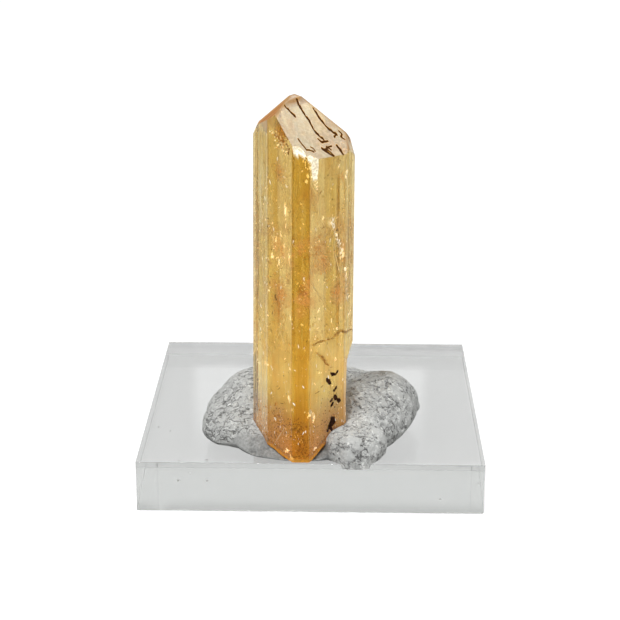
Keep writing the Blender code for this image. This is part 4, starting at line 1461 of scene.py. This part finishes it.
@dataclass
class Putty:
    """The lump of putty: squashed balls run together, torn on both lobes and wiped smooth in front.

    Lengths in mm. A ball is a centre and radii; a row of the front rim is a bearing in degrees and a radius.
    """

    heart: tuple[float, float] = (-0.87, -13.4)
    balls: tuple[tuple[Place, Place], ...] = (
        ((0.1, -4.9, 6.3), (12.4, 11.4, 3.9)),
        ((-5.5, -6.4, 7.2), (5.7, 6.4, 4.75)),
        ((-8.1, -9.8, 6.4), (4.5, 5.0, 3.2)),
        ((7.9, -6.4, 6.8), (4.9, 6.6, 4.5)),
        ((6.6, -12.4, 6.8), (4.4, 4.6, 3.4)),
        ((4.95, -16.75, 6.9), (3.4, 3.05, 2.3)),
        ((-0.9, -12.0, 5.8), (7.8, 6.5, 1.75)),
        ((-5.6, -12.6, 6.1), (5.2, 4.4, 2.3)),
        ((5.6, -9.6, 6.8), (3.7, 4.6, 4.3)),
    )
    powers: tuple[float, ...] = (2.0, 2.0, 2.0, 2.0, 2.0, 3.4, 2.0, 2.0, 2.0)
    shades: tuple[Place, ...] = ((-8.9, -13.9, 6.9), (2.1, -16.9, 7.4))
    front_rim: tuple[tuple[float, float], ...] = (
        (-176.3, 9.2), (-166.2, 7.45), (-147.7, 6.75), (-127.1, 5.75), (-104.6, 5.2), (-78.5, 5.2),
        (-60.0, 5.45), (-56.0, 6.1), (-53.0, 7.7), (-50.0, 8.8), (-47.0, 9.3), (-38.7, 9.5), (-27.7, 9.6),
        (-18.9, 9.55), (-13.0, 9.3), (-8.5, 9.05), (-4.6, 9.7), (5.5, 10.6), (13.5, 11.65), (20.4, 12.75),
        (32.0, 15.1), (38.2, 16.6),
    )
    front_spread: float = 103.0
    brink: float = 19.05
    overhang: float = 0.62
    droop: float = 0.42
    soil: Place = (8.4, -4.6, 10.9)
    soil_reach: float = 1.8
    floor: float = 5.83
    blend: float = 0.45
    contact: float = 0.05
    columns: int = 640
    top_rows: int = 112
    rim_rows: int = 18

    def rim_radius(self, angle: Array) -> Array:
        """Distance from the heart to the farthest crossing of the ray with the balls' ellipses."""
        ray = np.stack([np.cos(angle), np.sin(angle)], -1)
        reach = []
        for centre, radii in self.balls:
            size = np.array(radii[:2])
            start = (np.array(self.heart) - np.array(centre[:2])) / size
            step = ray / size
            a = (step * step).sum(-1)
            b = (step * start).sum(-1)
            c = float(start @ start) - 1.0
            root = b * b - a * c
            reach.append(np.where(root > 0.0, (-b + np.sqrt(np.maximum(root, 0.0))) / a, 0.0))
        return self.soft_max(np.array(reach))

    def trimmed(self, angle: Array, radius: Array) -> Array:
        """The rim as pinched: a table of radii in front, the balls' rim behind, cut short past the brink."""
        bearings, reaches = np.array(self.front_rim).T
        bearing = np.degrees(np.arctan2(np.sin(angle), np.cos(angle)))
        off = np.abs(bearing - (bearings[0] + bearings[-1]) / 2.0)
        part = smooth_step(-off, -self.front_spread - 4.0, -self.front_spread)
        full = radius + (np.interp(bearing, bearings, reaches) - radius) * part
        limit = (self.brink + self.overhang + self.heart[1]) / np.maximum(-np.sin(angle), 1e-6)
        return np.where(np.sin(angle) < -0.3, np.minimum(full, limit), full)

    def soft_max(self, values: Array) -> Array:
        """Smooth largest value along the first axis: blend · log of the sum of exp(value / blend)."""
        top = values.max(0)
        return top + self.blend * np.log(np.exp((values - top) / self.blend).sum(0)) - self.blend * 0.4

    def top_height(self, plan: Array) -> Array:
        """Height of the balls run together: z + r·(1 - ρᵖ)^(1/p) within an ellipse, dropping away outside."""
        heights = []
        for (centre, radii), power in zip(self.balls, self.powers):
            spread = np.linalg.norm((plan - np.array(centre[:2])) / np.array(radii[:2]), axis=-1)
            dome = radii[2] * np.maximum(0.0, 1.0 - spread**power) ** (1.0 / power)
            heights.append(centre[2] + dome - 5.0 * np.maximum(0.0, spread - 1.0))
        return self.soft_max(np.array(heights))

    def base_grid(self, crystal: Crystal) -> tuple[Array, Array]:
        """The smooth lump as a polar grid about the crystal's axis.

        Rows run from the socket's floor out to its wall, up the wall, over the top to the rim, down the rim
        with a slight bulge, and back under.

        Returns:
            The grid and, for each point, how much relief it takes.
        """
        angle = np.arange(self.columns) / self.columns * math.tau
        ray = np.stack([np.cos(angle), np.sin(angle)], -1)
        heart = np.array(self.heart)
        loose = self.rim_radius(angle)
        rim = self.trimmed(angle, loose)
        socket = np.minimum(crystal.wall_radius(angle) + self.contact, rim - 0.08)
        rows, takes = [], []

        def add(radius: Array, height: Array, take: float) -> None:
            """Add one row."""
            rows.append(np.concatenate([heart + ray * radius[:, None], height[:, None]], -1))
            takes.append(np.full(self.columns, take))

        for share in np.linspace(0.15, 1.0, 8):
            plan = heart + ray * (socket * share)[:, None]
            under = crystal.base_height(plan) - self.contact - 0.05
            add(socket * share, np.minimum(self.top_height(plan), under), 0.0)
        wall_foot = rows[-1][:, 2]
        wall_head = self.top_height(rows[-1][:, :2])
        for share in (0.35, 0.7):
            add(socket, wall_foot + (wall_head - wall_foot) * share, 0.0)
        for share in np.linspace(0.0, 1.0, self.top_rows):
            radius = socket + (rim - socket) * share
            pressed = radius * (1.0 + (loose / rim - 1.0) * share)
            add(radius, self.top_height(heart + ray * pressed[:, None]), min(1.0, share * 12.0))
        edge = rows[-1][:, 2]
        over = smooth_step(-rows[-1][:, 1], self.brink + 0.1, self.brink + 0.35)
        foot = self.floor - self.droop * over
        for share in np.linspace(0.0, 1.0, self.rim_rows + 1)[1:]:
            bulge = 0.14 * math.sin(math.pi * share) - 0.10 * share**3
            add(rim + bulge, edge + (foot - edge) * share, 1.0 - share**4)
        for level in (foot, np.full(self.columns, self.floor)):
            under = rows[-1].copy()
            under[:, 1] = np.maximum(under[:, 1], -self.brink - 0.06)
            under[:, :2] = heart + (under[:, :2] - heart) * 0.998
            under[:, 2] = level
            rows.append(under)
            takes.append(np.zeros(self.columns))
        return np.array(rows), np.array(takes)

    def patches(self, points: Array) -> Array:
        """Smooth pressed patches, 1 on them: ragged spots about strewn points, drawn out along the tear."""
        tear = unit(np.array([0.65, -0.5, -0.5]))
        warp = np.stack([value_noise(points / 0.7, seed) for seed in (41, 42, 43)], -1) * 0.3
        drawn = points + warp
        drawn = drawn - 0.5 * (drawn @ tear)[..., None] * tear
        near, mark = nearest_seed(drawn / 1.5, 47)
        ragged = 0.07 * fractal_noise(points / 0.3, 48, 2)
        return smooth_step(0.24 + 0.30 * mark - near + ragged, 0.0, 0.09)

    def relief(self, points: Array) -> tuple[Array, Array, Array]:
        """Work out the torn surface.

        The left lobe is dented by fine noise. The right one has raised patches with a dark step on their
        lower right, a painted shadow, and a pale one on their upper left, a painted highlight, both from the
        patches at a shifted place, and ridges, 1 - 2·|noise|, between them.

        Returns:
            How far it stands out, its tone as painted shade from 0 in hollows to 1 on crests, and how torn it
            is.
        """
        right = smooth_step(points[..., 0] + 0.8 * value_noise(points / 2.0, 40), -2.0, 1.2)
        soft = fractal_noise(points / 1.6, 44, 3)
        dents = fractal_noise(points / 0.55, 53, 2)
        left_push = 0.04 * soft + 0.06 * dents
        left_tone = 0.48 + 0.05 * soft + 0.09 * dents
        shift = 0.16 * unit(np.array([1.0, -0.3, -0.9]))
        patch = self.patches(points)
        # Painted shadow below the patches' lower right borders and painted highlight above their upper left
        # ones.
        below = np.maximum(self.patches(points - shift) - patch, 0.0)
        above = np.maximum(self.patches(points + shift) - patch, 0.0)
        ridged = 1.0 - 2.0 * np.abs(value_noise(points / 0.6, 57))
        fine = fractal_noise(points / 0.25, 56, 2)
        rough = 1.0 - patch
        right_push = 0.08 * soft + 0.12 * patch + rough * (0.09 * ridged + 0.04 * fine) - 0.04 * below
        right_tone = 0.51 + 0.12 * fractal_noise(points / 1.9, 59, 2) + 0.09 * patch
        right_tone = right_tone + rough * (0.12 * ridged + 0.12 * fine) - 0.20 * below + 0.16 * above
        push = left_push + (right_push - left_push) * right
        tone = left_tone + (right_tone - left_tone) * right
        return push, tone, 1.0 - 0.7 * patch * right

    def wiped(self, points: Array) -> Array:
        """1 where the finger-smoothed front wall is, 0 elsewhere."""
        x, y, z = np.moveaxis(points, -1, 0)
        front = smooth_step(-y, 10.2, 11.6)
        height = z + 0.25 * fractal_noise(points / 0.8, 72, 2) + 1.6 * smooth_step(-x, 7.6, 9.6)
        below = smooth_step(-height, -7.9, -7.3)
        return front * below * smooth_step(-x, -2.6, -1.8)

    def shaped(self, crystal: Crystal) -> tuple[Array, Array, Array, Array]:
        """Push the smooth lump out along its normals by the relief, kept inside the solid's box.

        Returns:
            The grid, its tone on the lobes, its tone on the wiped front and how torn it is.
        """
        grid, takes = self.base_grid(crystal)
        around = np.roll(grid, -1, axis=1) - np.roll(grid, 1, axis=1)
        down = np.gradient(grid, axis=0)
        normal = unit(np.cross(around, down))
        normal *= np.sign(normal[len(grid) // 2, :, 2].mean())
        wiped = self.wiped(grid)
        torn, tone, rough = self.relief(grid)
        streak = fractal_noise(np.stack([grid[..., 0] / 0.5, grid[..., 2] / 2.4], -1), 71) * 0.02
        push = (torn * (1.0 - wiped) + streak * wiped) * takes
        grid = grid + normal * push[..., None]
        low, high = (np.array(corner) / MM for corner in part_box("mounting_putty"))
        low[2] = self.floor - self.droop
        grid = np.clip(grid, low, high)
        behind = grid[..., 1] > -self.brink - 0.05
        grid[..., 2] = np.where(behind, np.maximum(grid[..., 2], self.floor), grid[..., 2])
        # Painted shade on the wiped front wall: a low tone, darker about the shades' spots, and darker from x
        # = -8.5 mm rightwards where its foot faces up.
        shade = sum(np.exp(-(np.linalg.norm(grid - np.array(spot), axis=-1) ** 2)) for spot in self.shades)
        smooth = 0.30 + streak * 1.5 + 0.05 * fractal_noise(grid / 1.2, 73, 3) - 0.12 * np.minimum(shade, 1.0)
        smooth = smooth - 0.13 * smooth_step(grid[..., 0], -8.5, -5.5)
        return grid, tone * (1.0 - wiped) + smooth * wiped, wiped, rough

    def build(self, crystal: Crystal, material: bpy.types.Material) -> None:
        """Make the lump, with its tone, its soiled spot and how torn it is for the finish to read."""
        grid, tone, wiped, rough = self.shaped(crystal)
        away = np.linalg.norm(grid - np.array(self.soil), axis=-1)
        soil = np.exp(-((away / self.soil_reach) ** 2)) * (1.0 - wiped)
        poles = np.array([[*self.heart, grid[0, :, 2].mean()], [*self.heart, self.floor]])
        points = np.concatenate([grid.reshape(-1, 3), poles])
        attributes = {
            "relief": np.append(np.clip(tone, 0.0, 1.0), [0.5, 0.5]),
            "soil": np.append(soil, [0.0, 0.0]),
            "torn": np.append(rough * (1.0 - wiped), [0.0, 0.0]),
        }
        triangles = tube_triangles(*grid.shape[:2])
        piece = make_piece("putty_lump", points, triangles, material, attributes, 60.0)
        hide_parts("mounting_putty")
        piece.visible_glossy = False


# The block


@dataclass
class Block:
    """The acrylic block with finely rounded polished edges, and the dust on it. Lengths in mm.

    A row of dust is x and y on top, or x and z in front, and a size.
    """

    side: float = 38.1
    thickness: float = 5.8
    edge: float = 0.02
    corner_steps: int = 6
    side_steps: int = 10
    dust_top: tuple[Place, ...] = (
        (-17.53, -9.27, 0.11), (-16.05, -10.39, 0.10), (-14.36, -18.66, 0.10), (-11.31, -18.29, 0.12),
    )
    dust_front: tuple[Place, ...] = (
        (-14.4, 3.66, 0.11), (-11.25, 3.66, 0.11), (-13.12, 4.56, 0.06), (14.22, 1.76, 0.08),
        (18.4, 3.73, 0.07),
    )

    def ring(self, radius: float) -> Array:
        """Plan of the outline, counter-clockwise, its corners rounded about fixed centres by the radius."""
        reach = self.side / 2.0 - self.edge
        turn = np.linspace(0.0, math.pi / 2.0, self.corner_steps + 1)
        arc = np.stack([np.cos(turn), np.sin(turn)], -1) * radius + reach
        share = np.linspace(0.0, 1.0, self.side_steps + 1)[1:-1, None]
        side = arc[-1] + (np.array([-arc[-1][0], arc[-1][1]]) - arc[-1]) * share
        quarter = np.concatenate([arc, side])
        turned = [quarter]
        for _ in range(3):
            turned.append(np.stack([-turned[-1][:, 1], turned[-1][:, 0]], -1))
        return np.concatenate(turned)

    def build(self, material: bpy.types.Material) -> None:
        """Make the block as rings: its underside from the centre out, its edge, up and over the top."""
        flat, wall = self.ring(0.0), self.ring(self.edge)
        low = [np.insert(flat * share, 2, 0.0, axis=1) for share in (0.3, 0.7, 0.97, 0.998)]
        for bend in np.linspace(0.0, math.pi / 2.0, 6):
            height = self.edge * (1.0 - math.cos(bend))
            low.append(np.insert(self.ring(self.edge * math.sin(bend)), 2, height, axis=1))
        low.append(np.insert(wall, 2, self.edge * 2.0, axis=1))
        flip, lift = np.array([1.0, 1.0, -1.0]), np.array([0.0, 0.0, self.thickness])
        grid = np.stack(low + [row * flip + lift for row in reversed(low)])
        poles = np.array([[0.0, 0.0, 0.0], [0.0, 0.0, self.thickness]])
        points = np.concatenate([grid.reshape(-1, 3), poles])
        triangles = tube_triangles(*grid.shape[:2])
        piece = make_piece("acrylic_block", points, triangles, material, crease=40.0)
        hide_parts("acrylic_base")

    def dust(self, material: bpy.types.Material) -> None:
        """Lay the dust specks on the block's top and front."""
        top = np.array([(x, y, self.thickness + 0.01) for x, y, _ in self.dust_top])
        front = np.array([(x, -self.side / 2.0 - 0.01, z) for x, z, _ in self.dust_front])
        size = np.array([speck[2] for speck in (*self.dust_top, *self.dust_front)])
        places = np.concatenate([top, front])
        sizes = np.stack([size, size * 0.5, size * 0.8], -1)
        sizes[: len(top)] = sizes[: len(top), [0, 2, 1]]
        turns = np.stack([np.zeros(len(size)), np.linspace(0.0, 0.3, len(size))], -1)
        points, triangles, _ = Flakes(4, 8, 0.3, 110).mesh(places, sizes, turns)
        make_piece("dust_specks", points, triangles, material)


# The studio


@dataclass
class Studio:
    """White floor, soft white surroundings and the camera at the photograph's angle. Lengths in metres.

    A range of the surroundings is where it starts and where it is full, or the other way round at its end.
    """

    focal_pixels: float = 1699.0
    sensor_width: float = 36.0
    camera_place: Place = (0.00285, -0.18827, 0.08198)
    yaw: float = math.radians(-0.99)
    pitch: float = math.radians(-19.06)
    roll: float = math.radians(0.19)
    floor_side: float = 6.0
    floor_drop: float = 0.00005
    floor_colour: Colour = (0.25, 0.25, 0.25)
    floor_glow: float = 0.85
    behind_camera: float = 0.2
    rear: float = 0.85
    rear_low: float = 0.78
    rear_box: float = 0.55
    rear_strip: float = 0.3
    rear_line: float = 0.14
    rear_line_left: float = 0.28
    under: float = 0.3
    box_side: float = 0.2
    bounces: int = 32

    def camera(self) -> None:
        """Place the camera from its yaw, pitch and roll."""
        ahead = Vector((
            math.sin(self.yaw) * math.cos(self.pitch),
            math.cos(self.yaw) * math.cos(self.pitch),
            math.sin(self.pitch),
        ))
        level = Vector((math.cos(self.yaw), -math.sin(self.yaw), 0.0))
        upright = level.cross(ahead)
        right = math.cos(self.roll) * level + math.sin(self.roll) * upright
        up = -math.sin(self.roll) * level + math.cos(self.roll) * upright
        data = bpy.data.cameras.new("camera")
        data.sensor_width = self.sensor_width
        data.lens = data.sensor_width * self.focal_pixels / IMAGE_PIXELS
        data.clip_start = 0.01
        data.clip_end = 20.0
        thing = bpy.data.objects.new("camera", data)
        turn = Matrix((right, up, -ahead)).transposed().to_4x4()
        thing.matrix_world = Matrix.Translation(self.camera_place) @ turn
        bpy.context.scene.collection.objects.link(thing)
        bpy.context.scene.camera = thing

    def floor(self) -> None:
        """Lay a plain pale floor."""
        half = self.floor_side / 2.0
        mesh = bpy.data.meshes.new("floor")
        corners = [(-half, -half, 0.0), (half, -half, 0.0), (half, half, 0.0), (-half, half, 0.0)]
        mesh.from_pydata(corners, [], [(0, 1, 2, 3)])
        shader = Shader("floor_white")
        sockets = {
            "Base Color": (*self.floor_colour, 1.0),
            "Roughness": 0.9,
            "Specular IOR Level": 0.0,
            "Emission Color": (1.0, 1.0, 1.0, 1.0),
            "Emission Strength": self.floor_glow,
        }
        mesh.materials.append(shader.finish(shader.surface(sockets)))
        thing = bpy.data.objects.new("floor", mesh)
        thing.location.z = -self.floor_drop
        thing.visible_glossy = False
        bpy.context.scene.collection.objects.link(thing)

    def softbox(self, name: str, place: Place, aim: Place, power: float, mirrored: bool = True) -> None:
        """Hang one square soft light that faces its aim, left out of reflections where it isn't mirrored."""
        data = bpy.data.lights.new(name, "AREA")
        data.shape = "RECTANGLE"
        data.size = data.size_y = self.box_side
        data.energy = power
        thing = bpy.data.objects.new(name, data)
        thing.location = place
        thing.rotation_euler = (Vector(aim) - Vector(place)).to_track_quat("-Z", "Y").to_euler()
        thing.visible_camera = False
        thing.visible_glossy = mirrored
        bpy.context.scene.collection.objects.link(thing)

    def surroundings(self, shader: Shader) -> Wire:
        """How bright the surroundings are by direction: dimmer behind the camera, low at the rear and below.

        At the rear are what the block reflects in the photograph: a soft box, a thin bright strip and a thin
        darker line. Each is a range of z / y of the direction looked in, the box also one of x / y.
        """
        ray = shader.node("ShaderNodeTexCoord", {}, {}, "Generated")
        x, y, z = (shader.axis(ray, axis) for axis in "XYZ")
        side, rise = x / y, z / y
        rear = y.step(0.3, 0.6)
        low = rear * rise.step(0.46, 0.380)
        room = y.step(-0.5, 0.5) * (self.rear - self.behind_camera) + self.behind_camera
        dip = low * (1.0 - rise.step(0.378, 0.386) * 0.6) * (self.rear - self.rear_low)
        window = side.step(-0.095, -0.085) * side.step(0.060, 0.050)
        window = window * rise.step(0.380, 0.386) * rise.step(0.46, 0.40)
        strip = rear * rise.step(0.4485, 0.4500) * rise.step(0.458, 0.456)
        line = rear * rise.step(0.3686, 0.3696) * rise.step(0.3722, 0.3710)
        strength = room - dip + window * rear * self.rear_box + strip * self.rear_strip
        strength = strength - line * (side.step(-0.02, 0.0) * self.rear_line_left + self.rear_line)
        return strength * (z.step(-0.06, 0.04) * (1.0 - self.under) + self.under)

    def light(self) -> None:
        """Light the scene with pale surroundings and two soft boxes, and let light cross many surfaces."""
        world = bpy.data.worlds.new("surroundings")
        shader = Shader("surroundings", world)
        sockets = {"Color": (1.0, 1.0, 1.0, 1.0), "Strength": self.surroundings(shader)}
        shader.finish(shader.node("ShaderNodeBackground", {}, sockets))
        bpy.context.scene.world = world
        self.softbox("key", (-0.08, -0.16, 0.46), (0.0, -0.01, 0.02), 2.5)
        self.softbox("fill", (0.28, -0.24, 0.14), (0.004, -0.01, 0.008), 0.28, False)
        cycles = bpy.context.scene.cycles
        cycles.max_bounces = cycles.transmission_bounces = cycles.transparent_max_bounces = self.bounces
        cycles.glossy_bounces = self.bounces
        view = bpy.context.scene.view_settings
        view.view_transform = "Standard"
        view.look = "None"

    def build(self) -> None:
        """Make the whole studio."""
        self.camera()
        self.floor()
        self.light()


def main() -> None:
    """Build the studio and every piece in order."""
    logging.basicConfig(level=logging.INFO, format="%(message)s")
    Studio().build()
    block = Block()
    block.build(AcrylicFinish().material())
    block.dust(FlakeFinish("dust", (0.42, 0.42, 0.40), (0.10, 0.10, 0.09), 0.05, 0.8).material())
    crystal = Crystal()
    crystal.build(TopazFinish().material())
    Interior(crystal).build()
    Putty().build(crystal, PuttyFinish().material())


if __name__ == "__main__":
    main()
